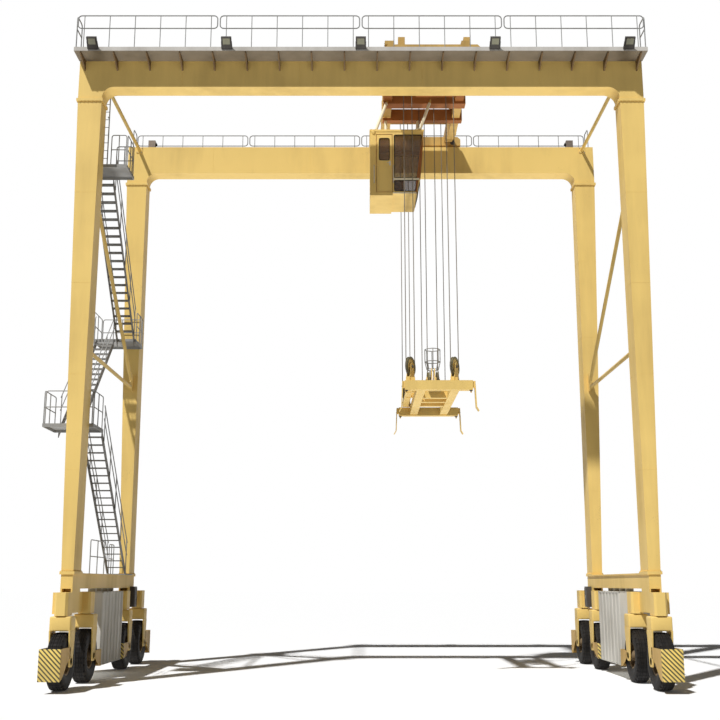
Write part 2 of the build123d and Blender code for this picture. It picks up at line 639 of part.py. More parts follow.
rail_solids = [solid for lane, run, rise in FLIGHTS for solid in stair_rails(lane, run, rise)]
OUTER_RAIL_X = -LEFT_REACH + STAIR_RAIL / 2
LANE_RAIL_X = INNER_LANE[1] + 20
TOP_RAIL_X = -8400.0 - STAIR_RAIL / 2
SILL_RAIL_X = -LEG_INNER_X + 22
NEAR_RAIL_Y = -LEG_INNER_Y + 60
FAR_RAIL_Y = LEG_INNER_Y - 60
LEVEL_RUNS = (
    ((OUTER_RAIL_X, LOWER_RUN[1] - 40), (OUTER_RAIL_X, NEAR_RAIL_Y), LANDING_Z[0]),
    ((OUTER_RAIL_X + CORNER_GAP, NEAR_RAIL_Y), (LANE_RAIL_X - CORNER_GAP, NEAR_RAIL_Y), LANDING_Z[0]),
    ((LANE_RAIL_X, NEAR_RAIL_Y), (LANE_RAIL_X, LOWER_RUN[1] - 150), LANDING_Z[0]),
    ((OUTER_RAIL_X, MIDDLE_RUN[1] + 40), (OUTER_RAIL_X, FAR_RAIL_Y), LANDING_Z[1]),
    ((OUTER_RAIL_X + CORNER_GAP, FAR_RAIL_Y), (LANE_RAIL_X - CORNER_GAP, FAR_RAIL_Y), LANDING_Z[1]),
    ((LANE_RAIL_X, FAR_RAIL_Y), (LANE_RAIL_X, MIDDLE_RUN[1] + 150), LANDING_Z[1]),
    ((INNER_LANE[0] + 18, UPPER_RUN[1] - 150), (INNER_LANE[0] + 18, NEAR_RAIL_Y), LANDING_Z[2]),
    ((-9000.0, NEAR_RAIL_Y), (TOP_RAIL_X - CORNER_GAP, NEAR_RAIL_Y), LANDING_Z[2]),
    ((TOP_RAIL_X, NEAR_RAIL_Y), (TOP_RAIL_X, UPPER_RUN[1] - 150), LANDING_Z[2]),
    ((TOP_RAIL_X - CORNER_GAP, UPPER_RUN[1] - 150), (-9050.0, UPPER_RUN[1] - 150), LANDING_Z[2]),
    ((INNER_LANE[0] - 20, LOWER_RUN[0] + 60), (INNER_LANE[0] - 20, FAR_RAIL_Y - 90), FOOT_Z),
    ((SILL_RAIL_X, -2700.0), (SILL_RAIL_X, -700.0), LEG_FOOT_Z),
)
rail_solids.extend(level_rail(*run) for run in LEVEL_RUNS)
write("stair_handrails", gather(rail_solids))


def access_ladder():
    """The ladder from the top landing to the girder, on the inside of the leg."""
    x0, x1 = -9530.0, -9150.0
    y = -LEG_INNER_Y + 160
    top = GIRDER_TOP_Z + 60
    parts = [block(x, x + 30, y, y + 60, LANDING_Z[2], top) for x in (x0, x1 - 30)]
    count = int((top - LANDING_Z[2] - 200) / 300)
    for index in range(count):
        z = LANDING_Z[2] + 300 * (index + 1)
        parts.append(block(x0, x1, y + 18, y + 42, z - 12, z + 12))
    for z in (LANDING_Z[2] + 1800, GIRDER_TOP_Z - 450):
        for x in (x0, x1 - 30):
            parts.append(block(x, x + 30, -LEG_INNER_Y, y, z, z + 40))
    return join(parts)


write("access_ladder", access_ladder())


# Houses below the sills.

def power_house():
    """The right house: a ribbed steel box hung from the sill on four hangers."""
    skin_x, skin_y = HOUSE_OUTER_X - HOUSE_SKIN, HOUSE_HALF_Y - HOUSE_SKIN
    body = block(HOUSE_INNER_X + HOUSE_SKIN, skin_x, -skin_y, skin_y, HOUSE_LOW_Z, HOUSE_TOP_Z)
    pieces = [body]
    pitch = (2 * HOUSE_HALF_Y - 200) / (HOUSE_RIBS - 1)
    for index in range(HOUSE_RIBS):
        y = -HOUSE_HALF_Y + 100 + index * pitch
        rib = [(HOUSE_INNER_X, y - 60), (HOUSE_INNER_X, y + 60), (HOUSE_INNER_X + HOUSE_SKIN, y + 100),
               (skin_x, y + 100), (HOUSE_OUTER_X, y + 60), (HOUSE_OUTER_X, y - 60),
               (skin_x, y - 100), (HOUSE_INNER_X + HOUSE_SKIN, y - 100)]
        outline = Polyline(*[(x, across_y, HOUSE_LOW_Z) for x, across_y in rib], close=True)
        pieces.append(extrude(make_face(outline), amount=HOUSE_TOP_Z - HOUSE_LOW_Z, dir=(0, 0, 1)))
    for y in HOUSE_HANGERS_Y:
        pieces.append(block(LEG_INNER_X + 60, LEG_FOOT_X - 60, y - 60, y + 60, HOUSE_TOP_Z, SILL_UNDER_Z))
    return join(pieces)


write("right_power_house", power_house())
write("left_power_house", swap(power_house(), -1, 1))


# Trolley frame, machinery, cabin and its door.

CAB_SIDE = [(CAB_LEFT_X, CAB_LOW_Z), (CAB_DOOR_WALL_X, CAB_LOW_Z),
            (CAB_DOOR_WALL_X, CAB_GLAZED_LOW_Z)] + list(CAB_FRONT) + [(CAB_LEFT_X, CAB_ROOF_Z)]
UPPER_WINDOW = [(1260, 18060), (2165, 18060), (2265, 19200), (2300, 19780), (1260, 19780)]
LOWER_WINDOW = [(1260, 17540), (2045, 17540), (2140, 17960), (1260, 17960)]
FRONT_WINDOWS = ((17560, 17960), (18080, 19160))
FRONT_GLASS_Y = (CAB_NEAR_Y + 160, CAB_FAR_Y - 160)
PANE = 10.0


def side_beam(x0, x1):
    """A fish-bellied beam across the span, shallow where it sits on the carriages."""
    end, slope, belly = GIRDER_Y + CARRIAGE_HALF_Y, 3450.0, 1700.0
    outline = [(-end, CARRIAGE_TOP_Z), (-slope, CARRIAGE_LOW_Z), (-belly, BEAM_LOW_Z), (belly, BEAM_LOW_Z),
               (slope, CARRIAGE_LOW_Z), (end, CARRIAGE_TOP_Z), (end, BEAM_TOP_Z), (-end, BEAM_TOP_Z)]
    return along(outline, x0, x1)


def carriage(y):
    """An end carriage on one rail, with a wheel near each end."""
    body = block(TROLLEY_LEFT_X, TROLLEY_RIGHT_X, y - CARRIAGE_HALF_Y, y + CARRIAGE_HALF_Y,
                 CARRIAGE_LOW_Z, CARRIAGE_TOP_Z)
    body = chamfer(body.edges().filter_by(Axis.Y).group_by(Axis.Z)[-1], 120)
    wheels = []
    wheel = Rot(0, 0, 90) * turned([(-45, TRUCK_WHEEL_R), (45, TRUCK_WHEEL_R)], SHEAVE_FLATS)
    for x in (TROLLEY_LEFT_X + TRUCK_INSET, TROLLEY_RIGHT_X - TRUCK_INSET):
        wheels.append(Pos(x, y, RAIL_TOP_Z + TRUCK_GAP + TRUCK_WHEEL_R) * wheel)
    return [body] + wheels


def cabin_hangers():
    """Four tubes that carry the cabin, each on a foot plate on its roof."""
    roof_feet = ((480, CAB_NEAR_Y + 150), (2150, CAB_NEAR_Y + 150), (1000, CAB_FAR_Y - 150),
                 (2150, CAB_FAR_Y - 150))
    heads = ((1040, CROSS_BEAMS[0][0] + 40), (2700, CROSS_BEAMS[0][0] + 40), (1000, CROSS_BEAMS[1][0] + 100),
             (2300, CROSS_BEAMS[1][0] + 100))
    parts = []
    for (foot_x, foot_y), (head_x, head_y) in zip(roof_feet, heads):
        tube = pipe((foot_x, foot_y, CAB_ROOF_Z - 200), (head_x, head_y, BEAM_LOW_Z + 60), 55, 6)
        parts.append(tube - block(0, 3000, -3000, 1000, CAB_ROOF_Z - 400, CAB_ROOF_Z))
        parts.append(block(foot_x - 110, foot_x + 110, foot_y - 110, foot_y + 110, CAB_ROOF_Z,
                           CAB_ROOF_Z + 25))
    return parts


def trolley_frame():
    """Two end carriages, two side beams, two cross beams, the rope beams and the cabin hangers."""
    pieces = [side_beam(*beam) for beam in SIDE_BEAMS]
    for y in (-GIRDER_Y, GIRDER_Y):
        pieces.extend(carriage(y))
    for y0, y1 in CROSS_BEAMS:
        pieces.append(block(TROLLEY_LEFT_X, CROSS_RIGHT_X, y0, y1, CROSS_LOW_Z, CROSS_TOP_Z))
    for y in (-SHEAVE_Y, 0, SHEAVE_Y):
        half = 420 if y else 200
        pieces.append(block(TROLLEY_LEFT_X, SIDE_BEAMS[1][1], y - half, y + half, ROPE_TOP_Z,
                            ROPE_TOP_Z + 90))
        for x0, x1 in SIDE_BEAMS:
            pieces.append(block(x0, x1, y - half, y + half, BEAM_TOP_Z, ROPE_TOP_Z))
    for foot_x, x in MASTS:
        pieces.append(block(x - MAST_HALF, x + MAST_HALF, *MAST_Y, BEAM_TOP_Z, MAST_TOP_Z))
        pieces.append(block(foot_x, x + MAST_HALF, *MAST_Y, BEAM_TOP_Z, BEAM_TOP_Z + MAST_FOOT))
    return join(pieces + cabin_hangers())


def hoist_machinery():
    """The rope drum between its two bearings, with the gear case and the motor."""
    deck_z = ROPE_TOP_Z + 90
    left, right = 1540.0, 3460.0
    place = Pos(0, DRUM_Y, DRUM_Z)
    pieces = [place * turned([(left, SHAFT_R), (right, SHAFT_R)], PIN_FLATS)]
    for x0, x1, reach in DRUM_STEPS:
        pieces.append(place * turned([(x0, reach), (x1, reach)], SHEAVE_FLATS))
    bearing = [(DRUM_Y - 260, deck_z), (DRUM_Y + 260, deck_z), (DRUM_Y + 140, DRUM_Z + 120),
               (DRUM_Y - 140, DRUM_Z + 120)]
    pieces.append(along(bearing, left - 120, left))
    pieces.append(along(bearing, right, right + 100))
    pieces.append(block(right + 100, 3950, DRUM_Y - 480, DRUM_Y + 900, deck_z, DRUM_Z + 260))
    motor = turned([(-380, MOTOR_R), (380, MOTOR_R)], PIN_FLATS)
    pieces.append(Pos(3180, DRUM_Y + 700, deck_z + 330) * motor)
    pieces.append(block(2900, 3400, DRUM_Y + 590, DRUM_Y + 810, deck_z, deck_z + 200))
    base = block(TROLLEY_LEFT_X, SIDE_BEAMS[1][1], DRUM_Y - 520, DRUM_Y + 1000, BEAM_TOP_Z + 60, deck_z)
    clear = block(TROLLEY_LEFT_X - 10, SIDE_BEAMS[1][1] + 10, -202, 202, BEAM_TOP_Z, deck_z + 5)
    seats = [block(x0, x1, DRUM_Y - 520, DRUM_Y + 1000, BEAM_TOP_Z, BEAM_TOP_Z + 60)
             for x0, x1 in SIDE_BEAMS]
    return join(pieces + [base - clear] + [seat - clear for seat in seats])


def cabin_shell():
    """The cabin: a hollow sheet body with a floor, a doorway and window openings."""
    body = across(CAB_SIDE, CAB_NEAR_Y, CAB_FAR_Y)
    inner = [(CAB_LEFT_X + CAB_WALL, CAB_FLOOR_Z), (2030, CAB_FLOOR_Z), (2158, 18010), (2268, 19200),
             (2312, CAB_ROOF_Z - CAB_WALL), (CAB_LEFT_X + CAB_WALL, CAB_ROOF_Z - CAB_WALL)]
    body -= across(inner, CAB_NEAR_Y + CAB_WALL, CAB_FAR_Y - CAB_WALL)
    for outline in (UPPER_WINDOW, LOWER_WINDOW):
        body -= across(outline, CAB_NEAR_Y - 10, CAB_FAR_Y + 10)
    for low, high in FRONT_WINDOWS:
        body -= block(1800, 2500, *FRONT_GLASS_Y, low, high)
    body -= block(DOOR_X[0] - DOOR_GAP, DOOR_X[1] + DOOR_GAP, CAB_NEAR_Y - 10, CAB_NEAR_Y + CAB_WALL + 10,
                  DOOR_Z[0] - DOOR_GAP, DOOR_Z[1] + DOOR_GAP)
    return body


def cabin_glass():
    """The panes of the side windows and of the sloping front."""
    panes = []
    for outline in (UPPER_WINDOW, LOWER_WINDOW):
        for y in (CAB_NEAR_Y + 25, CAB_FAR_Y - 35):
            panes.append(across(outline, y, y + PANE))
    slopes = ((CAB_FRONT[0], CAB_FRONT[1]), (CAB_FRONT[1], CAB_FRONT[2]))
    for (low, high), ((x0, z0), (x1, z1)) in zip(FRONT_WINDOWS, slopes):
        tilt = (x1 - x0) / (z1 - z0)
        at_low, at_high = x0 + tilt * (low - z0), x0 + tilt * (high - z0)
        outline = [(at_low - 40, low), (at_low - 28, low), (at_high - 28, high), (at_high - 40, high)]
        panes.append(across(outline, *FRONT_GLASS_Y))
    return gather(panes)


def cabin_door():
    """The door leaf with its window and lever handle."""
    y0 = CAB_NEAR_Y + 5
    leaf = block(*DOOR_X, y0, y0 + DOOR_THICK, *DOOR_Z)
    leaf -= block(*DOOR_PANE_X, y0 - 5, y0 + DOOR_THICK + 5, *DOOR_PANE_Z)
    pane = block(*DOOR_PANE_X, y0 + 18, y0 + 18 + PANE, *DOOR_PANE_Z)
    handle = join([block(1085, 1105, y0 - 60, y0, 18640, 18660),
                   block(1000, 1105, y0 - 60, y0 - 42, 18640, 18660)])
    knuckles = []
    for z in HINGE_HEIGHTS:
        knuckles.append(Pos(DOOR_X[0], HINGE_Y, z) * Cylinder(HINGE_R, 120))
        knuckles.append(block(DOOR_X[0], DOOR_X[0] + 55, HINGE_Y, y0, z - 55, z + 55))
    return join([leaf, pane, handle] + knuckles)


def operator_seat():
    """The operator's chair with a console on each side."""
    x, y = 1350, -1100
    floor = CAB_FLOOR_Z
    pieces = [pipe((x, y, floor), (x, y, floor + 380), 90)]
    pieces.append(block(x - 260, x + 260, y - 260, y + 260, floor + 370, floor + 520))
    pieces.append(along([(y - 250, floor + 500), (y + 250, floor + 500), (y + 220, floor + 1180),
                         (y - 220, floor + 1180)], x - 330, x - 200))
    for side in (-1, 1):
        pieces.append(block(x - 200, x + 330, y + side * 261, y + side * 430, floor + 300, floor + 700))
        pieces.append(block(x - 100, x + 100, y + side * 200, y + side * 300, floor + 400, floor + 440))
    return join(pieces)


write("trolley_frame", trolley_frame())
write("hoist_machinery", hoist_machinery())
write("cabin_shell", cabin_shell())
write("cabin_glass", cabin_glass())
write("cabin_door", cabin_door())
write("operator_seat", operator_seat())


# Headblock, sheaves, spreader and ropes.

SHEAVES = [(LEFT_SHEAVE_X, -SHEAVE_Y, 1), (RIGHT_SHEAVE_X, -SHEAVE_Y, 1),
           (LEFT_SHEAVE_X + 85, SHEAVE_Y, 1), (RIGHT_SHEAVE_X - 60, SHEAVE_Y, 1),
           (LOAD_X - 170, 0, 0), (LOAD_X + 170, 0, 0)]


def sheave_place(x, y, turn):
    """The place of a sheave, turned about the vertical for the corner ones."""
    return Pos(x, y, SHEAVE_Z) * Rot(0, 0, -SHEAVE_TURN * turn)


def sheave_disc():
    """A grooved sheave on an X axis."""
    root = SHEAVE_R - 50
    disc = turned([(-SHEAVE_HALF, SHEAVE_R), (-20, root), (20, root), (SHEAVE_HALF, SHEAVE_R)], SHEAVE_FLATS)
    return disc - turned([(-SHEAVE_HALF - 1, PIN_R + 2), (SHEAVE_HALF + 1, PIN_R + 2)], PIN_FLATS)


def sheave_bracket():
    """Two cheeks and the pin for one sheave, standing on the headblock."""
    drop = SHEAVE_Z - SPREADER_TOP_Z - 20
    cheek = [(-230, -drop), (230, -drop), (120, 60), (50, 130), (-50, 130), (-120, 60)]
    pieces = []
    for side in (-1, 1):
        pieces.append(along(cheek, side * (SHEAVE_HALF + 6), side * (SHEAVE_HALF + 30)))
    pin = turned([(-SHEAVE_HALF - 50, PIN_R), (SHEAVE_HALF + 50, PIN_R)], PIN_FLATS)
    foot = block(-SHEAVE_HALF - 30, SHEAVE_HALF + 30, -230, 230, -drop, -SHEAVE_R - 30)
    return join(pieces + [pin, foot])


def cable_basket():
    """The open wire basket that takes the spreader cable, on four struts."""
    low, middle, high = BASKET_Z
    foot_r, wire_r = 0.75 * BASKET_R, BASKET_R - BASKET_WIRE / 2
    pieces = []
    for z, reach in ((low, foot_r), (middle, BASKET_R), (high - BASKET_WIRE, BASKET_R)):
        ring = RegularPolygon(reach, BASKET_WIRES) - RegularPolygon(reach - BASKET_WIRE, BASKET_WIRES)
        pieces.append(extrude(Plane(origin=(LOAD_X, 0, z)) * ring, amount=BASKET_WIRE))
    for index in range(BASKET_WIRES):
        turn = radians(360 * index / BASKET_WIRES)
        x, y = cos(turn), sin(turn)
        foot = (LOAD_X + (foot_r - BASKET_WIRE / 2) * x, (foot_r - BASKET_WIRE / 2) * y, low)
        knee = (LOAD_X + wire_r * x, wire_r * y, middle)
        pieces.append(bar(foot, knee, BASKET_WIRE))
        pieces.append(bar((knee[0], knee[1], middle - 10), (knee[0], knee[1], high - 10), BASKET_WIRE))
    for x in (-1, 1):
        for y in (-1, 1):
            pieces.append(bar((LOAD_X + x * 55, y * (CROSS_Y - 60), HEAD_TOP_Z - 90),
                              (LOAD_X + x * 55, y * 205, low + 15), 36))
    return pieces


def headblock():
    """The frame that hangs on the ropes and locks onto the spreader."""
    low, high = SPREADER_TOP_Z + 20, HEAD_TOP_Z
    pieces = []
    for x in (LEFT_SHEAVE_X + 40, RIGHT_SHEAVE_X - 30):
        pieces.append(block(x - 110, x + 110, -SHEAVE_Y - 200, SHEAVE_Y + 200, low, low + 140))
    for y in (-CROSS_Y, CROSS_Y):
        pieces.append(block(LEFT_SHEAVE_X, RIGHT_SHEAVE_X, y - 120, y + 120, low, high))
    pieces.append(block(LOAD_X - 420, LOAD_X + 420, -CROSS_Y, CROSS_Y, low, high - 60))
    for x, y, turn in SHEAVES:
        pieces.append(sheave_place(x, y, turn) * sheave_bracket())
    for x in (LEFT_SHEAVE_X + 40, RIGHT_SHEAVE_X - 30):
        for y in (-CROSS_Y, CROSS_Y):
            pieces.append(block(x - 80, x + 80, y - 80, y + 80, SPREADER_TOP_Z, low))
    return join(pieces + cable_basket())


def spreader_frame():
    """The load frame: main beams, end beams, twistlocks at the corners and guide arms."""
    pieces = []
    low, high = SPREADER_LOW_Z, SPREADER_TOP_Z
    for side in (-1, 1):
        x = LOAD_X + side * 600
        pieces.append(block(x - 150, x + 150, -SPREADER_HALF_Y, SPREADER_HALF_Y, low + 40, high))
        y0, y1 = side * (SPREADER_HALF_Y - END_BEAM), side * SPREADER_HALF_Y
        pieces.append(block(LOAD_X - SPREADER_HALF_X, LOAD_X + SPREADER_HALF_X, y0, y1, low, high))
    for y in (-900, 0, 900):
        pieces.append(block(LOAD_X - 600, LOAD_X + 600, y - 120, y + 120, low + 60, high - 40))
    for x in (-1, 1):
        for y in (-1, 1):
            lock_x, lock_y = LOAD_X + x * TWISTLOCK_X / 2, y * TWISTLOCK_Y / 2
            pieces.append(Pos(lock_x, lock_y, low - TWISTLOCK_LENGTH / 2)
                          * Cylinder(TWISTLOCK_R, TWISTLOCK_LENGTH))
            arm_x = LOAD_X + x * SPREADER_HALF_X
            arm_y = y * (SPREADER_HALF_Y - END_BEAM / 2)
            pieces.append(block(arm_x, arm_x + x * 90, arm_y - 110, arm_y + 110, low + 90, high - 20))
            guide = [(arm_x + x * 60, high - 20), (arm_x + x * 90, high - 20), (arm_x + x * 130, low - 600),
                     (arm_x + x * 210, low - 740), (arm_x + x * 180, low - 740), (arm_x + x * 95, low - 600)]
            pieces.append(across(guide, arm_y - 130, arm_y + 130))
    return join(pieces)


def rope_places():
    """Where each fall of rope hangs: both sides of each corner sheave, and three in the middle."""
    places = []
    reach = SHEAVE_R + ROPE_R + 1
    for x, y, turn in SHEAVES:
        if turn:
            angle = radians(SHEAVE_TURN)
            for side in (-1, 1):
                places.append((x + side * reach * sin(angle), y + side * reach * cos(angle), SHEAVE_Z))
    for x, y in ((LOAD_X - 400, -50), (LOAD_X - 170, reach), (LOAD_X + 170, -reach)):
        places.append((x, y, SHEAVE_Z if abs(y) > SHEAVE_R else HEAD_TOP_Z - 56))
    return places


def hoist_ropes():
    """The falls of rope between the trolley and the headblock."""
    falls = []
    for x, y, low_z in rope_places():
        falls.append(pipe((x, y, low_z), (x, y, ROPE_TOP_Z), ROPE_R, 6))
    return gather(falls)


write("rope_sheaves", gather(sheave_place(x, y, turn) * sheave_disc() for x, y, turn in SHEAVES))
write("headblock", headblock())
write("spreader_frame", spreader_frame())
write("hoist_ropes", hoist_ropes())
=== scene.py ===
"""A rubber tyred gantry crane, dressed around its fixed CAD frame."""
import logging
import math
from dataclasses import dataclass
from enum import Enum, IntEnum
from functools import cached_property
from itertools import product
from typing import Iterable, Sequence

import bmesh
import bpy
from mathutils import Matrix, Vector


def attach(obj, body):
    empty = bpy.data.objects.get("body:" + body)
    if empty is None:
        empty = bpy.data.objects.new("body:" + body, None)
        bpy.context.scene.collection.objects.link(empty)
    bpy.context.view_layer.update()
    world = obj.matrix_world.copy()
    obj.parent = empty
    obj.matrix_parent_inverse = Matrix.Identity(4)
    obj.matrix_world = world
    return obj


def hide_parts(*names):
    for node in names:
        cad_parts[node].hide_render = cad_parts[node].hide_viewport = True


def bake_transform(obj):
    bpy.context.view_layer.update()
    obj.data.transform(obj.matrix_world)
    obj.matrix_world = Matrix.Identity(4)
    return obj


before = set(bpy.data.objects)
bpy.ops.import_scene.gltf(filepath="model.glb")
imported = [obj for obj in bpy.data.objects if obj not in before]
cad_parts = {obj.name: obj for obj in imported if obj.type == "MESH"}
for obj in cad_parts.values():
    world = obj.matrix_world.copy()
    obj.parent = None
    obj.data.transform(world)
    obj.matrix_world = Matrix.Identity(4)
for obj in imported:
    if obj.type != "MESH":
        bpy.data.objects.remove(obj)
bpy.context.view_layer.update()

log = logging.getLogger("gantry_crane")

Colour = tuple[float, float, float, float]
Span = tuple[float, float]
Point = tuple[float, float, float]
Outline = Sequence[Span]
Socket = bpy.types.NodeSocket
Value = Colour | Socket | float
Inputs = dict[str | int, Value]

# The portal's middle lies this far from the middle of the whole machine, stairs included.
CENTRE_SHIFT = 0.2
BOLT_SIDES = 6
# How many sides a round section gets, from thin wires to hubs.
WIRE_SIDES, ROD_SIDES, TUBE_SIDES, PIPE_SIDES, HUB_SIDES = 6, 8, 10, 20, 24
SMOOTH_ANGLE = math.radians(34)
HANDS = (-1, 1)
SQUARE = tuple(product(HANDS, HANDS))
WHITE: Colour = (1.0, 1.0, 1.0, 1.0)
# The colour sockets of a Mix node, which has sockets of the same names for other types.
MIX_LOW, MIX_HIGH, MIX_RESULT = 6, 7, 2


def srgb(red: int, green: int, blue: int) -> Colour:
    """Turn a screen colour into the linear values that shaders use.

    Args:
        red, green, blue: The colour's parts, from 0 to 255.

    Returns:
        The linear colour with full alpha.
    """
    parts = []
    for part in (red, green, blue):
        value = part / 255
        parts.append(value / 12.92 if value <= 0.04045 else ((value + 0.055) / 1.055) ** 2.4)
    return (parts[0], parts[1], parts[2], 1.0)


class Slot(Enum):
    """The record's material slots."""

    YELLOW_PAINT = "yellow_paint"
    GALVANISED = "galvanised_steel"
    RAIL_STEEL = "rail_steel"
    GREY_PAINT = "grey_paint"
    DARK_HOUSING = "dark_housing"
    GLASS = "window_glass"
    SEAT_COVER = "seat_cover"
    RUBBER = "tyre_rubber"


class Side(IntEnum):
    """Left or right of the travel way, as the sign of X."""

    LEFT = -1
    RIGHT = 1


class End(IntEnum):
    """Front or rear along the travel way, as the sign of Y."""

    FRONT = -1
    REAR = 1


CORNERS = tuple(product(Side, End))


class Place(IntEnum):
    """A wheel's place on its bogie: the sign is added along the bogie, away from the middle."""

    OUTER = 1
    INNER = -1


class EffectKind(Enum):
    """Effects that several finishes share: their inputs with defaults, the output and its type."""

    GRIME = ({"Scale": 1.0, "Stretch": 0.2, "Amount": 0.5}, "Mask", "NodeSocketFloat")
    RELIEF = ({"Scale": 1.0, "Depth": 0.001}, "Normal", "NodeSocketVector")
    CHIPS = ({"Scale": 30.0, "Amount": 0.3}, "Mask", "NodeSocketFloat")


class Graph:
    """A node tree that is put together node by node."""

    def __init__(self, tree: bpy.types.NodeTree) -> None:
        """Start on an emptied tree."""
        self.tree = tree
        self.tree.nodes.clear()

    @classmethod
    def of(cls, owner: bpy.types.Material | bpy.types.World) -> "Graph":
        """Start on the nodes of a material or a world."""
        owner.use_nodes = True
        return cls(owner.node_tree)

    def fill(self, node: bpy.types.Node, values: Inputs) -> None:
        """Set a node's inputs.

        Args:
            node: The node.
            values: A plain value, or another node's output, by input name or number.
        """
        for key, value in values.items():
            if isinstance(value, Socket):
                self.tree.links.new(value, node.inputs[key])
            else:
                node.inputs[key].default_value = value

    def add(self, kind: str, values: Inputs | None = None, **settings) -> bpy.types.Node:
        """Add a node.

        Args:
            kind: The node's type name without its ShaderNode or Node prefix.
            values: Its inputs, as in fill.
            settings: Attributes of the node.

        Returns:
            The new node.
        """
        prefix = "Node" if kind.startswith("Group") and kind != "Group" else "ShaderNode"
        node = self.tree.nodes.new(prefix + kind)
        for key, value in settings.items():
            setattr(node, key, value)
        self.fill(node, values or {})
        return node

    def sum(self, operation: str, first: Value, second: Value = 0.0, clamp: bool = False) -> Socket:
        """Give the result of a sum on one or two values."""
        return self.add("Math", {0: first, 1: second}, operation=operation, use_clamp=clamp).outputs[0]

    def noise(self, **values: Value) -> Socket:
        """Give the grey values of a noise texture."""
        return self.add("TexNoise", values).outputs["Fac"]

    def span(self, mask: Socket, low: float, high: float) -> Socket:
        """Give a value that follows a mask from low to high."""
        return self.add("MapRange", {"Value": mask, "To Min": low, "To Max": high}).outputs[0]

    def mix(self, mask: Socket, low: Value, high: Value) -> Socket:
        """Mix two colours: low where the mask is 0, high where it is 1."""
        values = {"Factor": mask, MIX_LOW: low, MIX_HIGH: high}
        return self.add("Mix", values, data_type="RGBA").outputs[MIX_RESULT]

    def bump(self, height: Socket, strength: float, distance: Value) -> Socket:
        """Give the normals of a height."""
        values = {"Height": height, "Strength": strength, "Distance": distance}
        return self.add("Bump", values).outputs["Normal"]

    def effect(self, kind: EffectKind, place: Socket, **values: float) -> Socket:
        """Use a shared effect, and give its only output.

        Args:
            kind: Which effect.
            place: The coordinates it reads.
            values: Its other inputs, by name.

        Returns:
            The effect's mask or normals.
        """
        return self.add("Group", {"Vector": place, **values}, node_tree=EFFECTS.group(kind)).outputs[0]


class Effects:
    """The shared node groups, each built on its first use."""

    def __init__(self) -> None:
        """Start with no groups."""
        self.groups: dict[EffectKind, bpy.types.NodeTree] = {}

    def group(self, kind: EffectKind) -> bpy.types.NodeTree:
        """Give an effect's node tree.

        Args:
            kind: Which effect.

        Returns:
            Its tree, which is built if it is new.
        """
        if kind in self.groups:
            return self.groups[kind]
        defaults, result, result_type = kind.value
        tree = bpy.data.node_groups.new(kind.name.lower(), "ShaderNodeTree")
        tree.interface.new_socket("Vector", in_out="INPUT", socket_type="NodeSocketVector")
        for name, value in defaults.items():
            socket = tree.interface.new_socket(name, in_out="INPUT", socket_type="NodeSocketFloat")
            socket.default_value = value
        tree.interface.new_socket(result, in_out="OUTPUT", socket_type=result_type)
        graph = Graph(tree)
        given = graph.add("GroupInput").outputs
        maker = {EffectKind.GRIME: self._grime, EffectKind.RELIEF: self._relief,
                 EffectKind.CHIPS: self._chips}[kind]
        graph.add("GroupOutput", {result: maker(graph, given)})
        self.groups[kind] = tree
        return tree

    @staticmethod
    def _patches(graph: Graph, given: bpy.types.NodeOutputs, fine: Inputs, coarse: Inputs, edge: Span
                 ) -> Socket:
        """Make marks that gather in patches: where two noises are both high.

        Args:
            graph: The group's nodes.
            given: The group's inputs.
            fine, coarse: The inputs of the two noises.
            edge: Between which values the marks begin and are full.

        Returns:
            Where the marks lie.
        """
        both = graph.sum("MULTIPLY", graph.noise(**fine), graph.noise(**coarse))
        level = graph.add("MapRange", {"Value": both, "From Min": edge[0], "From Max": edge[1]})
        return graph.sum("MULTIPLY", level.outputs[0], given["Amount"])

    def _grime(self, graph: Graph, given: bpy.types.NodeOutputs) -> Socket:
        """Dirt that runs down the surface: noise drawn out along Z."""
        squeeze = graph.add("CombineXYZ", {"X": 1.0, "Y": 1.0, "Z": given["Stretch"]}).outputs[0]
        drawn = graph.add("VectorMath", {0: given["Vector"], 1: squeeze}, operation="MULTIPLY")
        fine = {"Vector": drawn.outputs[0], "Scale": given["Scale"], "Detail": 6.0, "Roughness": 0.6}
        coarse = {"Vector": given["Vector"], "Scale": 0.35, "Detail": 3.0}
        return self._patches(graph, given, fine, coarse, (0.18, 0.42))

    def _chips(self, graph: Graph, given: bpy.types.NodeOutputs) -> Socket:
        """Small sharp marks where paint has come off."""
        fine = {"Vector": given["Vector"], "Scale": given["Scale"], "Detail": 8.0, "Roughness": 0.7}
        coarse = {"Vector": given["Vector"], "Scale": 0.9, "Detail": 2.0}
        return self._patches(graph, given, fine, coarse, (0.40, 0.44))

    def _relief(self, graph: Graph, given: bpy.types.NodeOutputs) -> Socket:
        """The faint unevenness of rolled plate, brushed paint or cast iron."""
        noise = graph.noise(Vector=given["Vector"], Scale=given["Scale"], Detail=5.0, Roughness=0.55)
        return graph.bump(noise, 1.0, given["Depth"])


EFFECTS = Effects()


@dataclass(frozen=True)
class Finish:
    """What every finish shares: a name, a slot, and a material that is built once."""

    name: str
    slot: Slot

    @cached_property
    def material(self) -> bpy.types.Material:
        """The Blender material of this finish."""
        material = bpy.data.materials.new(self.name)
        graph = Graph.of(material)
        shader = graph.add("BsdfPrincipled")
        graph.add("OutputMaterial", {"Surface": shader.outputs[0]})
        graph.fill(shader, self.inputs(graph, graph.add("TexCoord").outputs["Object"]))
        return material

    def inputs(self, graph: Graph, place: Socket) -> Inputs:
        """Work out what goes into the Principled shader.

        Args:
            graph: The material's nodes.
            place: The piece's own coordinates.

        Returns:
            The shader's inputs, as in Graph.fill.
        """
        raise NotImplementedError


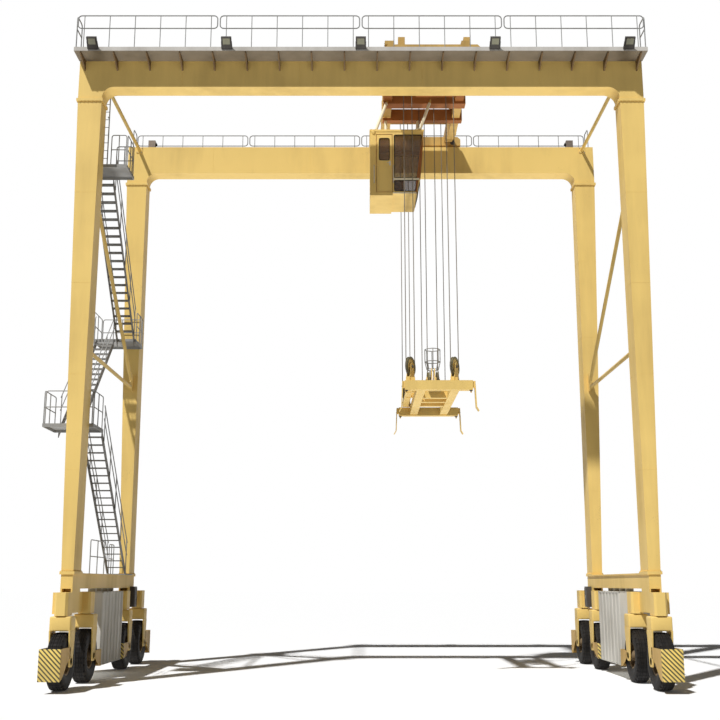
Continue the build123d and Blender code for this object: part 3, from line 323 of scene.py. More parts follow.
@dataclass(frozen=True)
class PaintFinish(Finish):
    """Machinery paint over steel, with rain streaks, dust and chips."""

    colour: Colour
    dirt: Colour
    under: Colour = srgb(96, 74, 58)
    grime: float = 0.3
    chips: float = 0.3
    scale: float = 1.6
    roughness: float = 0.48
    relief: float = 0.0012

    def inputs(self, graph: Graph, place: Socket) -> Inputs:
        """Paint, then dirt over it, then the marks that show the primer, as in Finish."""
        grime = graph.effect(EffectKind.GRIME, place, Scale=self.scale, Stretch=0.12, Amount=self.grime)
        chips = graph.effect(EffectKind.CHIPS, place, Scale=26.0, Amount=self.chips)
        faded = tuple(min(1.0, part * 1.1 + 0.012) for part in self.colour[:3]) + (1.0,)
        aged = graph.mix(graph.noise(Vector=place, Scale=0.55, Detail=2.0), self.colour, faded)
        dirty = graph.mix(grime, aged, self.dirt)
        return {"Base Color": graph.mix(chips, dirty, self.under),
                "Roughness": graph.span(grime, self.roughness, min(1.0, self.roughness + 0.5)),
                "Specular IOR Level": 0.15, "Coat Weight": 0.05, "Coat Roughness": 0.3,
                "Normal": graph.effect(EffectKind.RELIEF, place, Scale=2.2, Depth=self.relief)}


@dataclass(frozen=True)
class HazardFinish(Finish):
    """Diagonal dark and yellow bands that run down to the right."""

    yellow: Colour
    black: Colour
    pitch: float
    dust: Colour = srgb(120, 108, 88)
    under: Colour = srgb(112, 84, 62)
    yellow_share: float = 0.6

    def inputs(self, graph: Graph, place: Socket) -> Inputs:
        """A dark band is two fifths of each step along the diagonal, as in Finish."""
        axes = graph.add("SeparateXYZ", {0: place}).outputs
        steps = graph.sum("DIVIDE", graph.sum("ADD", axes["X"], axes["Z"]), self.pitch)
        band = graph.sum("GREATER_THAN", graph.sum("FRACT", steps), self.yellow_share)
        grime = graph.effect(EffectKind.GRIME, place, Scale=4.0, Stretch=0.3, Amount=0.35)
        dusty = graph.mix(grime, graph.mix(band, self.yellow, self.black), self.dust)
        chips = graph.effect(EffectKind.CHIPS, place, Scale=40.0, Amount=0.7)
        return {"Base Color": graph.mix(chips, dusty, self.under), "Roughness": graph.span(grime, 0.4, 0.85),
                "Normal": graph.effect(EffectKind.RELIEF, place, Scale=9.0, Depth=0.0006)}


@dataclass(frozen=True)
class RubberFinish(Finish):
    """Black rubber with road dust rubbed into it."""

    colour: Colour = srgb(24, 22, 21)
    dust: Colour = srgb(62, 56, 48)
    amount: float = 0.4

    def inputs(self, graph: Graph, place: Socket) -> Inputs:
        """Dust lies in soft patches, and fine grain breaks up the sheen, as in Finish."""
        dust = graph.effect(EffectKind.GRIME, place, Scale=5.0, Stretch=1.0, Amount=self.amount)
        return {"Base Color": graph.mix(dust, self.colour, self.dust),
                "Roughness": graph.span(dust, 0.62, 0.95), "Specular IOR Level": 0.15,
                "Normal": graph.effect(EffectKind.RELIEF, place, Scale=60.0, Depth=0.0007)}


@dataclass(frozen=True)
class MetalFinish(Finish):
    """Bare steel with a mottled skin."""

    colour: Colour
    stain: Colour
    stain_amount: float = 0.4
    roughness: float = 0.38

    def inputs(self, graph: Graph, place: Socket) -> Inputs:
        """Crystals in two near tones, with stains where water stood, as in Finish."""
        crystals = graph.add("TexVoronoi", {"Vector": place, "Scale": 14.0, "Randomness": 1.0})
        tone = graph.add("SeparateColor", {0: crystals.outputs["Color"]}).outputs[0]
        darker = tuple(part * 0.78 for part in self.colour[:3]) + (1.0,)
        skin = graph.mix(tone, darker, self.colour)
        stain = graph.effect(EffectKind.GRIME, place, Scale=3.0, Stretch=0.4, Amount=self.stain_amount)
        return {"Base Color": graph.mix(stain, skin, self.stain), "Metallic": 0.85,
                "Roughness": graph.span(stain, self.roughness, 0.85),
                "Normal": graph.effect(EffectKind.RELIEF, place, Scale=35.0, Depth=0.0004)}


@dataclass(frozen=True)
class RopeFinish(Finish):
    """Greased wire rope: strands that wind round, drawn by slanting waves."""

    colour: Colour
    # Darker colour in the grooves between strands: painted shade.
    groove: Colour

    def inputs(self, graph: Graph, place: Socket) -> Inputs:
        """Bands across the diagonal stand for the lay of the strands, and the darker groove colour between
        them is painted shade, as in Finish.
        """
        waves = graph.add("TexWave", {"Vector": place, "Scale": 14.0, "Distortion": 0.6},
                          wave_type="BANDS", bands_direction="DIAGONAL").outputs["Fac"]
        return {"Base Color": graph.mix(waves, self.groove, self.colour), "Metallic": 0.5, "Roughness": 0.5,
                "Normal": graph.bump(waves, 0.6, 0.004)}


@dataclass(frozen=True)
class GlassFinish(Finish):
    """Tinted safety glass with a film of dust."""

    colour: Colour
    dust: Colour
    alpha: float = 0.4

    def inputs(self, graph: Graph, place: Socket) -> Inputs:
        """The tint is an even film, and the dust makes it duller in places, as in Finish."""
        dust = graph.effect(EffectKind.GRIME, place, Scale=2.5, Stretch=0.5, Amount=0.25)
        return {"Base Color": graph.mix(dust, self.colour, self.dust),
                "Roughness": graph.span(dust, 0.04, 0.5), "Alpha": self.alpha, "IOR": 1.5}


@dataclass(frozen=True)
class WovenFinish(Finish):
    """Seat cloth: a fine over and under weave with worn, paler patches."""

    colour: Colour
    worn: Colour

    def inputs(self, graph: Graph, place: Socket) -> Inputs:
        """Two crossing waves make the threads, as in Finish."""
        threads = [graph.add("TexWave", {"Vector": place, "Scale": 160.0}, wave_type="BANDS",
                             bands_direction=direction).outputs["Fac"] for direction in ("X", "Z")]
        wear = graph.effect(EffectKind.GRIME, place, Scale=6.0, Stretch=1.0, Amount=0.6)
        return {"Base Color": graph.mix(wear, self.colour, self.worn), "Roughness": 0.85,
                "Sheen Weight": 0.3, "Normal": graph.bump(graph.sum("MULTIPLY", *threads), 0.5, 0.0015)}


YELLOW = PaintFinish("pale_yellow_paint", Slot.YELLOW_PAINT, srgb(232, 199, 118), srgb(152, 122, 74))
# A darker copy of the yellow paint: painted shade, used on the guard wings and bolts, the trolley frame, its
# web stiffeners and the hoist deck.
PAINTED_SHADE_YELLOW = PaintFinish("shaded_yellow_paint", Slot.YELLOW_PAINT, srgb(206, 170, 98),
                           srgb(112, 84, 52), grime=0.5)
GREY = PaintFinish("house_grey_paint", Slot.GREY_PAINT, srgb(204, 201, 192), srgb(122, 116, 104),
                   grime=0.45, chips=0.2)
DARK = PaintFinish("dark_machine_paint", Slot.DARK_HOUSING, srgb(74, 70, 66), srgb(44, 40, 36),
                   grime=0.5, roughness=0.5)
RUST_BROWN = PaintFinish("red_brown_primer", Slot.DARK_HOUSING, srgb(158, 98, 48), srgb(82, 50, 28),
                         grime=0.5, roughness=0.55)
RIM_BROWN = PaintFinish("brake_dust_paint", Slot.RAIL_STEEL, srgb(132, 112, 84), srgb(66, 52, 38),
                        grime=0.6, roughness=0.6)
OLIVE = PaintFinish("sheave_olive_paint", Slot.DARK_HOUSING, srgb(134, 126, 92), srgb(70, 64, 48),
                    grime=0.5)
CREAM = PaintFinish("cabin_trim_paint", Slot.YELLOW_PAINT, srgb(236, 226, 196), srgb(160, 142, 104),
                    grime=0.25)
HAZARD = HazardFinish("hazard_stripes", Slot.YELLOW_PAINT, srgb(236, 208, 112), srgb(58, 48, 22), 0.142)
RAIL_GREY = PaintFinish("grey_rail_paint", Slot.GALVANISED, srgb(152, 152, 150), srgb(98, 92, 84),
                        grime=0.45, chips=0.4, roughness=0.55, relief=0.0004)
DECK_GREY = PaintFinish("grey_deck_coating", Slot.GALVANISED, srgb(198, 194, 187), srgb(128, 118, 104),
                        grime=0.4)
TREAD_GREY = PaintFinish("dark_stair_paint", Slot.GALVANISED, srgb(120, 118, 114), srgb(80, 74, 66),
                         grime=0.45)
# Colour of the thin plates under the walkway decks: painted shade under the deck.
PAINTED_SHADE_GREY = PaintFinish("weathered_deck_steel", Slot.GALVANISED, srgb(128, 117, 100), srgb(92, 80, 60),
                          grime=0.5)
# Brown skins over the walkway brackets: painted shade under the deck.
PAINTED_SHADE_BROWN = PaintFinish("bracket_painted_shade", Slot.GALVANISED, srgb(112, 88, 56), srgb(70, 54, 36),
                            grime=0.5)
RAIL = MetalFinish("worn_rail_steel", Slot.RAIL_STEEL, srgb(120, 110, 100), srgb(92, 62, 44), 0.7)
BRIGHT = MetalFinish("machined_steel", Slot.RAIL_STEEL, srgb(170, 168, 162), srgb(98, 84, 66), 0.3,
                     roughness=0.3)
# The rope's second colour is painted shade in the grooves between strands.
ROPE = RopeFinish("wire_rope_steel", Slot.RAIL_STEEL, srgb(138, 128, 112), srgb(70, 62, 52))
RUBBER = RubberFinish("tyre_rubber", Slot.RUBBER)
SEAL = RubberFinish("seal_rubber", Slot.RUBBER, srgb(30, 29, 28), srgb(74, 68, 60), 0.3)
GLASS = GlassFinish("cabin_window_glass", Slot.GLASS, srgb(112, 78, 46), srgb(140, 116, 84))
LENS = GlassFinish("lamp_lens_glass", Slot.GLASS, srgb(150, 148, 124), srgb(112, 108, 92), 0.9)
SEAT_CLOTH = WovenFinish("seat_cloth", Slot.SEAT_COVER, srgb(84, 66, 104), srgb(118, 102, 132))


class Axis(Enum):
    """The direction a plate is carried in or a shape is turned about."""

    X = Vector((1, 0, 0))
    Y = Vector((0, 1, 0))
    Z = Vector((0, 0, 1))

    def place(self, first: float, second: float, along: float) -> Vector:
        """Put an outline's corner in space.

        Args:
            first, second: Its values in the other two axes, in the order X, Y, Z.
            along: Its value in this axis.

        Returns:
            The point.
        """
        if self is Axis.X:
            return Vector((along, first, second))
        if self is Axis.Y:
            return Vector((first, along, second))
        return Vector((first, second, along))


def show(name: str, data: bpy.types.ID) -> bpy.types.Object:
    """Put an object that holds a mesh, a light or a camera into the scene.

    Args:
        name: The object's name.
        data: What it holds.

    Returns:
        The new object.
    """
    shown = bpy.data.objects.new(name, data)
    bpy.context.scene.collection.objects.link(shown)
    return shown


class Shape:
    """A piece under construction, in metres, measured from the middle of the portal."""

    def __init__(self) -> None:
        """Start with an empty mesh."""
        self.bm = bmesh.new()

    def _soften(self, verts: Iterable[bmesh.types.BMVert], width: float, segments: int) -> None:
        """Bevel the edges between some new vertices.

        Args:
            verts: The vertices.
            width: The bevel's width.
            segments: How many parts it has.
        """
        chosen = set(verts)
        edges = {edge for vert in chosen for edge in vert.link_edges if edge.other_vert(vert) in chosen}
        bmesh.ops.bevel(self.bm, geom=list(edges), offset=width, offset_type="OFFSET", segments=segments,
                        profile=0.5, affect="EDGES", clamp_overlap=True, material=-1)

    def mesh(self, name: str) -> bpy.types.Mesh:
        """Turn the shape, which is used up, into a mesh."""
        mesh = bpy.data.meshes.new(name)
        self.bm.to_mesh(mesh)
        self.bm.free()
        return mesh

    def join(self, other: "Shape") -> None:
        """Take over what another shape holds."""
        mesh = other.mesh("joined")
        self.bm.from_mesh(mesh)
        bpy.data.meshes.remove(mesh)

    def box(self, x: Span, y: Span, z: Span, bevel: float = 0.0, segments: int = 1) -> None:
        """Add a box.

        Args:
            x, y, z: Where it starts and ends on each axis, in either order.
            bevel: The width by which its edges are softened.
            segments: How many parts the bevel has.
        """
        low = Vector((min(x), min(y), min(z)))
        high = Vector((max(x), max(y), max(z)))
        place = Matrix.Translation((low + high) / 2) @ Matrix.Diagonal((*(high - low), 1.0))
        made = bmesh.ops.create_cube(self.bm, size=1.0, matrix=place)["verts"]
        if bevel:
            self._soften(made, bevel, segments)

    def plate(self, outline: Outline, axis: Axis, low: float, high: float, bevel: float = 0.0) -> None:
        """Add an outline that is carried along an axis.

        Args:
            outline: The corners, in the two axes other than the one given.
            axis: The direction it is carried in.
            low, high: Where it starts and ends on that axis.
            bevel: The width by which its edges are softened.
        """
        verts = [self.bm.verts.new(axis.place(first, second, low)) for first, second in outline]
        face = bmesh.ops.contextual_create(self.bm, geom=verts)["faces"]
        made = bmesh.ops.extrude_face_region(self.bm, geom=face)["geom"]
        moved = [item for item in made if isinstance(item, bmesh.types.BMVert)]
        bmesh.ops.translate(self.bm, verts=moved, vec=axis.value * (high - low))
        if bevel:
            self._soften(verts + moved, bevel, 1)

    def rod(self, start: Point | Vector, end: Point | Vector, radius: float, sides: int) -> None:
        """Add a round bar between two points.

        Args:
            start, end: Its two ends.
            radius: Its radius.
            sides: How many sides its section has.
        """
        first, last = Vector(start), Vector(end)
        run = last - first
        place = Matrix.Translation((first + last) / 2) @ run.to_track_quat("Z", "Y").to_matrix().to_4x4()
        bmesh.ops.create_cone(self.bm, cap_ends=True, segments=sides, radius1=radius, radius2=radius,
                              depth=run.length, matrix=place)

    def lathe(self, profile: Outline, centre: Point, axis: Axis = Axis.X, steps: int = 48) -> None:
        """Turn a closed profile about an axis.

        Args:
            profile: Distance along the axis, and radius, of each corner.
            centre: A point on the axis, from which the distances count.
            axis: The axis of the turn.
            steps: How many sides the round gets.
        """
        middle = Vector(centre)
        side = axis.value.yzx
        verts = [self.bm.verts.new(middle + axis.value * along + side * radius)
                 for along, radius in profile]
        edges = [self.bm.edges.new(pair) for pair in zip(verts, verts[1:] + verts[:1])]
        before = set(self.bm.verts) - set(verts)
        bmesh.ops.spin(self.bm, geom=verts + edges, cent=middle, axis=axis.value, dvec=(0, 0, 0),
                       angle=math.tau, steps=steps, use_merge=True, use_duplicate=False)
        made = [vert for vert in self.bm.verts if vert not in before]
        bmesh.ops.remove_doubles(self.bm, verts=made, dist=1e-5)

    def sweep(self, path: Sequence[Vector], radius: float, sides: int, closed: bool = False) -> None:
        """Carry a round section along a path.

        Args:
            path: The points of the middle line.
            radius: The section's radius.
            sides: How many sides the section has.
            closed: True where the path ends at its own start.
        """
        points = [*path, path[0]] if closed else list(path)
        runs = [(last - first).normalized() for first, last in zip(points, points[1:])]
        before, after = (runs[-1], runs[0]) if closed else (runs[0], runs[-1])
        tangents = [(first + last).normalized() for first, last in zip([before, *runs], [*runs, after])]
        turn = tangents[0].to_track_quat("Z", "Y").to_matrix().to_4x4()
        start = verts = bmesh.ops.create_circle(self.bm, cap_ends=not closed, segments=sides, radius=radius,
                                                matrix=Matrix.Translation(points[0]) @ turn)["verts"]
        ring = list({edge for vert in start for edge in vert.link_edges})
        for index in range(1, len(points)):
            grown = bmesh.ops.extrude_edge_only(self.bm, edges=ring)["geom"]
            verts = [item for item in grown if isinstance(item, bmesh.types.BMVert)]
            ring = [item for item in grown
                    if isinstance(item, bmesh.types.BMEdge) and set(item.verts) <= set(verts)]
            swing = tangents[index - 1].rotation_difference(tangents[index]).to_matrix()
            bmesh.ops.rotate(self.bm, verts=verts, cent=points[index - 1], matrix=swing)
            bmesh.ops.translate(self.bm, verts=verts, vec=points[index] - points[index - 1])
        if closed:
            bmesh.ops.remove_doubles(self.bm, verts=start + verts, dist=radius * 0.2)
        else:
            bmesh.ops.contextual_create(self.bm, geom=ring)

    def bolts(self, places: Iterable[Point], axis: Axis, across: float, height: float) -> None:
        """Add a hexagon head with its washer at each place, standing out along an axis.

        Args:
            places: Where each bolt meets its plate.
            axis: The direction of the bolts.
            across: The width of a head.
            height: How far a head stands out, negative towards the lower side.
        """
        for place in places:
            foot = Vector(place)
            washer = foot + axis.value * height * 0.25
            self.rod(foot, washer, across * 0.75, TUBE_SIDES)
            self.rod(washer, foot + axis.value * height, across * 0.56, BOLT_SIDES)

    def take(self, place: Matrix) -> None:
        """Move everything made so far."""
        bmesh.ops.transform(self.bm, matrix=place, verts=self.bm.verts)

    def finish(self, name: str, finish: Finish, body: str | None,
               stands_for: Sequence[str] = ()) -> bpy.types.Object:
        """Turn the mesh into a piece of the crane.

        Args:
            name: The piece's name.
            finish: Its finish.
            body: The CAD body it rides on, or None for a piece that rides on no body.
            stands_for: The CAD nodes that it replaces.

        Returns:
            The new object.
        """
        bmesh.ops.translate(self.bm, verts=self.bm.verts, vec=(CENTRE_SHIFT, 0, 0))
        bmesh.ops.recalc_face_normals(self.bm, faces=self.bm.faces)
        mesh = self.mesh(name)
        mesh.shade_smooth()
        mesh.set_sharp_from_angle(angle=SMOOTH_ANGLE)
        mesh.materials.append(finish.material)
        piece = show(name, mesh)
        if body:
            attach(piece, body)
        if stands_for:
            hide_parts(*stands_for)
        log.info("%s: %d faces", name, len(mesh.polygons))
        return piece


def arc(centre: Vector, start: Vector, end: Vector, steps: int) -> list[Vector]:
    """Points on the quarter turn or less between two spokes of equal length.

    Args:
        centre: The arc's middle.
        start, end: Its first and last point.
        steps: How many parts it is cut into.

    Returns:
        The points, both ends included.
    """
    first, last = start - centre, end - centre
    angle = first.angle(last)
    points = []
    for index in range(steps + 1):
        share = index / steps
        points.append(centre + (first * math.sin((1 - share) * angle) + last * math.sin(share * angle))
                      / math.sin(angle))
    return points


def rounded(corners: Sequence[Point], radius: float, steps: int = 4, closed: bool = False) -> list[Vector]:
    """Round the corners of a path.

    Args:
        corners: The path's corners, in order.
        radius: The bend radius, made smaller where a run is short.
        steps: How many parts each bend is cut into.
        closed: True where the path ends at its own start.

    Returns:
        The path's points.
    """
    given = [Vector(corner) for corner in corners]
    path: list[Vector] = []
    for index, corner in enumerate(given):
        if not closed and index in (0, len(given) - 1):
            path.append(corner)
            continue
        before, after = given[index - 1], given[(index + 1) % len(given)]
        towards, away = (before - corner), (after - corner)
        half = towards.angle(away) / 2
        reach = min(radius / math.tan(half), 0.49 * towards.length, 0.49 * away.length)
        start = corner + towards.normalized() * reach
        end = corner + away.normalized() * reach
        middle = (towards.normalized() + away.normalized()).normalized()
        path.extend(arc(corner + middle * (reach / math.cos(half)), start, end, steps))
    return path


def circle(radius: float, count: int, centre: Point = (0.0, 0.0, 0.0)) -> list[Point]:
    """Spread points evenly round an axis along X.

    Args:
        radius: Their distance from the axis.
        count: How many there are.
        centre: The circle's middle.

    Returns:
        The points, which start on the +Y side and rise from there.
    """
    x, y, z = centre
    turns = [math.tau * index / count for index in range(count)]
    return [(x, y + radius * math.cos(turn), z + radius * math.sin(turn)) for turn in turns]


def dress_node(names: Iterable[str], finish: Finish) -> None:
    """Give CAD nodes their finish in place of the plain one.

    Args:
        names: The nodes.
        finish: Their finish.
    """
    for name in names:
        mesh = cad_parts[name].data
        mesh.materials.clear()
        mesh.materials.append(finish.material)
        log.info("%s: %s", name, finish.name)


@dataclass
class Portal:
    """The legs, girders, sills and bogies, with their bolted flanges and weld beads."""

    inner_x: float = 9.25
    top_x: float = 10.1
    foot_x: float = 9.64
    inner_y: float = 3.68
    top_y: float = 4.39
    foot_y: float = 4.65
    foot_z: float = 3.55
    top_z: float = 20.1
    flange: float = 0.05
    lip: float = 0.022
    bolt_across: float = 0.036
    bolt_height: float = 0.034
    bolt_steps: int = 6
    bead: float = 0.007
    seams_z: tuple[float, ...] = (6.9, 10.1, 13.3, 16.6)
    web_seams_x: tuple[float, ...] = (-6.4, -2.2, 2.2, 6.4)
    web_z: Span = (20.62, 21.78)

    def build(self) -> None:
        """Dress the steelwork."""
        legs = [f"{end.name}_{side.name}_leg".lower() for end in End for side in Side]
        dress_node([*legs, "front_girder", "rear_girder", "left_sill_beam", "right_sill_beam",
                    "bogie_beams"], YELLOW)
        self._flange_bolts()
        self._seams()
        self._cabinets()

    def _outer(self, z: float) -> tuple[float, float]:
        """Work out how far out a leg's outer faces are.

        Args:
            z: The height.

        Returns:
            Their distances from the middle, along X and Y.
        """
        share = (z - self.foot_z) / (self.top_z - self.foot_z)
        return (self.foot_x + share * (self.top_x - self.foot_x),
                self.foot_y + share * (self.top_y - self.foot_y))

    def _cabinets(self) -> None:
        """A control cabinet on the inner face of each rear bogie."""
        cases, grips = Shape(), Shape()
        for sign in HANDS:
            cases.box((sign * 9.06, sign * 9.302), (3.95, 4.45), (2.3, 3.1), 0.012, 2)
            for hinge_y in (3.99, 4.41):
                cases.rod((sign * 9.056, hinge_y, 2.36), (sign * 9.056, hinge_y, 3.04), 0.008, ROD_SIDES)
            grips.box((sign * 9.062, sign * 9.04), (4.18, 4.22), (2.62, 2.76), 0.003)
        cases.finish("bogie_cabinets", DARK, "portal")
        grips.finish("bogie_cabinet_grips", BRIGHT, "portal")

    def _flange_bolts(self) -> None:
        """Rows of bolts round both flanges of each leg."""
        shape, lip = Shape(), self.lip
        flanges = ((self.top_z - self.flange, -self.bolt_height),
                   (self.foot_z + self.flange, self.bolt_height))
        for (side, end), (z, height) in product(CORNERS, flanges):
            outer_x, outer_y = self._outer(z)
            for step in range(self.bolt_steps):
                share = (step + 0.5) / self.bolt_steps
                x = self.inner_x + share * (outer_x - self.inner_x)
                y = self.inner_y + share * (outer_y - self.inner_y)
                spots = ((x, self.inner_y - lip), (x, outer_y + lip), (self.inner_x - lip, y),
                         (outer_x + lip, y))
                shape.bolts([(side * across, end * along, z) for across, along in spots],
                            Axis.Z, self.bolt_across, height)
        shape.finish("leg_flange_bolts", YELLOW, "portal")

    def _seams(self) -> None:
        """The weld bead round each joint of the leg plates, and along the girder faces."""
        shape = Shape()
        for (side, end), z in product(CORNERS, self.seams_z):
            outer_x, outer_y = self._outer(z)
            corners = ((self.inner_x, self.inner_y), (outer_x, self.inner_y), (outer_x, outer_y),
                       (self.inner_x, outer_y))
            path = [Vector((side * x, end * y, z)) for x, y in corners]
            shape.sweep(path, self.bead, WIRE_SIDES, closed=True)
        low, high = self.web_z
        for end, x, y in product(End, self.web_seams_x, (self.inner_y, self.top_y)):
            shape.rod((x, end * y, low), (x, end * y, high), self.bead, WIRE_SIDES)
        shape.finish("plate_welds", YELLOW, "portal")


@dataclass
class TyreForm:
    """The section of a balloon tyre, and the blocks of its tread."""

    radius: float = 0.87
    steps: int = 72
    rib_x: tuple[float, ...] = (0.048, 0.074, 0.18)
    shoulder_x: Span = (0.18, 0.236)
    shoulder_r: float = 0.79

    def section(self) -> list[Span]:
        """Draw half of the outline from the bead to the middle of the tread, and its mirror image.

        Returns:
            The profile for a lathe.
        """
        r = self.radius
        half = [(0.184, 0.408), (0.194, 0.428), (0.212, 0.44), (0.216, 0.465), (0.23, 0.51),
                (0.243, 0.57), (0.2485, 0.63), (0.2495, 0.66), (0.2495, 0.685), (0.246, 0.695),
                (0.247, 0.725), (0.241, 0.765), (0.23, 0.8), (0.217, 0.83), (0.2, r - 0.018),
                (0.178, r - 0.01), (0.14, r - 0.004), (0.136, r - 0.024), (0.118, r - 0.024),
                (0.114, r - 0.003), (0.074, r - 0.001), (0.07, r - 0.022), (0.052, r - 0.022),
                (0.048, r), (0.012, r)]
        return half + [(-x, radius) for x, radius in reversed(half)]

    def add(self, shape: Shape, centre: Point) -> None:
        """Turn the section, then press sipes into the shoulders and the ribs.

        Args:
            shape: The shape that gets the tyre.
            centre: The tyre's middle.
        """
        shape.lathe(self.section(), centre, Axis.X, self.steps)
        middle = Vector(centre)
        rib_end, block_start, rib_edge = self.rib_x
        shoulder, ribs = [], []
        for face in shape.bm.faces:
            spot = face.calc_center_median() - middle
            angle = math.atan2(spot.z, spot.y) % math.tau
            step = int(angle / math.tau * self.steps + 0.25)
            across, reach = abs(spot.x), math.hypot(spot.y, spot.z)
            on_shoulder = self.shoulder_x[0] < across < self.shoulder_x[1] and reach > self.shoulder_r
            on_rib = across < rib_end or block_start < across < rib_edge
            if on_shoulder and step % 3 == 0:
                shoulder.append(face)
            elif on_rib and reach > self.radius - 0.014 and step % 2 == 0:
                ribs.append(face)
        bmesh.ops.inset_region(shape.bm, faces=shoulder, thickness=0.008, depth=-0.018,
                               use_even_offset=True, use_boundary=True)
        bmesh.ops.inset_individual(shape.bm, faces=ribs, thickness=0.012, depth=-0.009,
                                   use_even_offset=True)


@dataclass
class WheelUnit:
    """One steered wheel: its fork with the guard, the rim and the tyre."""

    side: Side
    end: End
    place: Place
    wheel_x: float = 9.24
    bogie_y: float = 4.2
    wheel_step: float = 1.4
    axle_z: float = 0.87
    axle_r: float = 0.06
    crown_top: float = 2.22
    crown_low: float = 1.78
    half_x: float = 0.33
    cheek: float = 0.05
    sink: float = 0.014
    cap_bolt_r: float = 0.082
    nut_circle_r: float = 0.255

    @property
    def name(self) -> str:
        """The wheel's name in the CAD model."""
        return f"{self.end.name}_{self.side.name}_{self.place.name}".lower()

    @property
    def guard_reach(self) -> float:
        """How far the guard stands in front of the axle."""
        return 1.18 if self.place is Place.OUTER else 1.01

    @property
    def guard_z(self) -> Span:
        """The guard's lower and upper edge."""
        return (0.36, 1.3) if self.place is Place.OUTER else (0.46, 1.02)

    def _spot(self) -> Matrix:
        """Work out where the fork goes.

        Returns:
            What moves it from its own place, guard towards +Y, to its place on the crane.
        """
        facing = self.end * self.place
        y = self.end * (self.bogie_y + self.place * self.wheel_step)
        turn = Matrix.Rotation(0 if facing > 0 else math.pi, 4, "Z")
        return Matrix.Translation((self.side * self.wheel_x, y, 0)) @ turn

    def _put(self, shape: Shape, piece: str, finish: Finish, body: str = "steer", node: str = "",
             spot: Matrix | None = None) -> None:
        """Move a shape to its place on the crane, and make it a piece.

        Args:
            shape: The shape, at the wheel's own place.
            piece: The piece's name, after the wheel's.
            finish: Its finish.
            body: The body it rides on, after the wheel's name.
            node: The CAD node that it replaces, after the wheel's name.
            spot: What moves it, where that isn't the fork's own place and turn.
        """
        shape.take(spot or self._spot())
        shape.finish(f"{self.name}_{piece}", finish, f"{self.name}_{body}",
                     [f"{self.name}_{node}"] if node else [])

    def build(self) -> None:
        """Build the fork, the guard, the rim and the tyre."""
        self._fork()
        self._fork_bolts()
        self._guard()
        self._rim()
        shape = Shape()
        TyreForm().add(shape, (0, 0, self.axle_z))
        self._put(shape, "balloon_tyre", RUBBER, "wheel", "tyre")

    def _fork(self) -> None:
        """The crown, two cheeks, the axle with its caps and the turntable."""
        shape, half = Shape(), self.half_x
        shape.box((-half, half), (-0.3, 0.3), (self.crown_low, self.crown_top), 0.045, 3)
        shape.lathe([(-0.01, 0.0001), (0.012, 0.0001), (0.012, 0.16), (-0.01, 0.18)],
                    (0, 0, self.crown_top), Axis.Z, HUB_SIDES)
        edge = [(-0.3, self.crown_low + 0.02), (0.3, self.crown_low + 0.02), (0.17, 0.76), (0.11, 0.7),
                (-0.11, 0.7), (-0.17, 0.76)]
        for hand in HANDS:
            inner, outer = sorted((hand * (half - self.cheek), hand * half))
            shape.plate(edge, Axis.X, inner, outer, 0.008)
            cap = [(-0.012 * hand, 0.0001), (0.0, 0.0001), (0.0, 0.105), (-0.012 * hand, 0.115)]
            shape.lathe(cap, (hand * half, 0, self.axle_z), Axis.X, HUB_SIDES)
        shape.rod((-half + 0.004, 0, self.axle_z), (half - 0.004, 0, self.axle_z), self.axle_r, HUB_SIDES)
        self._put(shape, "wheel_fork", YELLOW, node="fork")

    def _fork_bolts(self) -> None:
        """Bolts round the axle caps and in the upper corners of the cheeks."""
        bolts = Shape()
        for hand in HANDS:
            x = hand * (self.half_x - self.sink)
            bolts.bolts(circle(self.cap_bolt_r, 6, (x, 0, self.axle_z)), Axis.X, 0.02, hand * 0.013)
            corners = [(x, y, self.crown_low + lift) for y in (-0.2, 0.2) for lift in (0.09, 0.2)]
            bolts.bolts(corners, Axis.X, 0.024, hand * 0.014)
        self._put(bolts, "fork_bolts", BRIGHT)

    def _guard(self) -> None:
        """The striped plate in front of the tyre, and its wings beside the tyre."""
        reach, half = self.guard_reach, self.half_x
        low, high = self.guard_z
        tall = high - low
        plate, back, bolts = Shape(), Shape(), Shape()
        plate.box((-half, half), (reach + 0.01, reach + 0.024), (low, high), 0.004, 2)
        self._put(plate, "guard_plate", HAZARD)
        back.box((-half, half), (reach, reach + 0.009), (low + 0.004, high - 0.004))
        for share in (0.08, 0.45):
            z = low + share * tall
            back.box((-half + 0.016, half - 0.016), (reach - 0.05, reach + 0.002), (z, z + 0.05), 0.004)
        outline = [(0, 1), (0, 0), (0.22, 0.06), (0.45, 0.25), (0.7, 0.5), (reach - 0.12, 0.65),
                   (reach - 0.12, 1)]
        wing = [(reach - back_by, low + share * tall) for back_by, share in outline]
        for hand in HANDS:
            inner, outer = sorted((hand * (half - self.sink), hand * half))
            back.plate(wing, Axis.X, inner, outer, 0.003)
            places = [(hand * half, 0.16, low + share * tall) for share in (0.72, 0.92)]
            bolts.bolts(places, Axis.X, 0.03, hand * 0.018)
        # The guard wings and their bolts take the darker yellow copy: painted shade.
        self._put(back, "guard_wings", PAINTED_SHADE_YELLOW)
        self._put(bolts, "guard_bolts", PAINTED_SHADE_YELLOW)

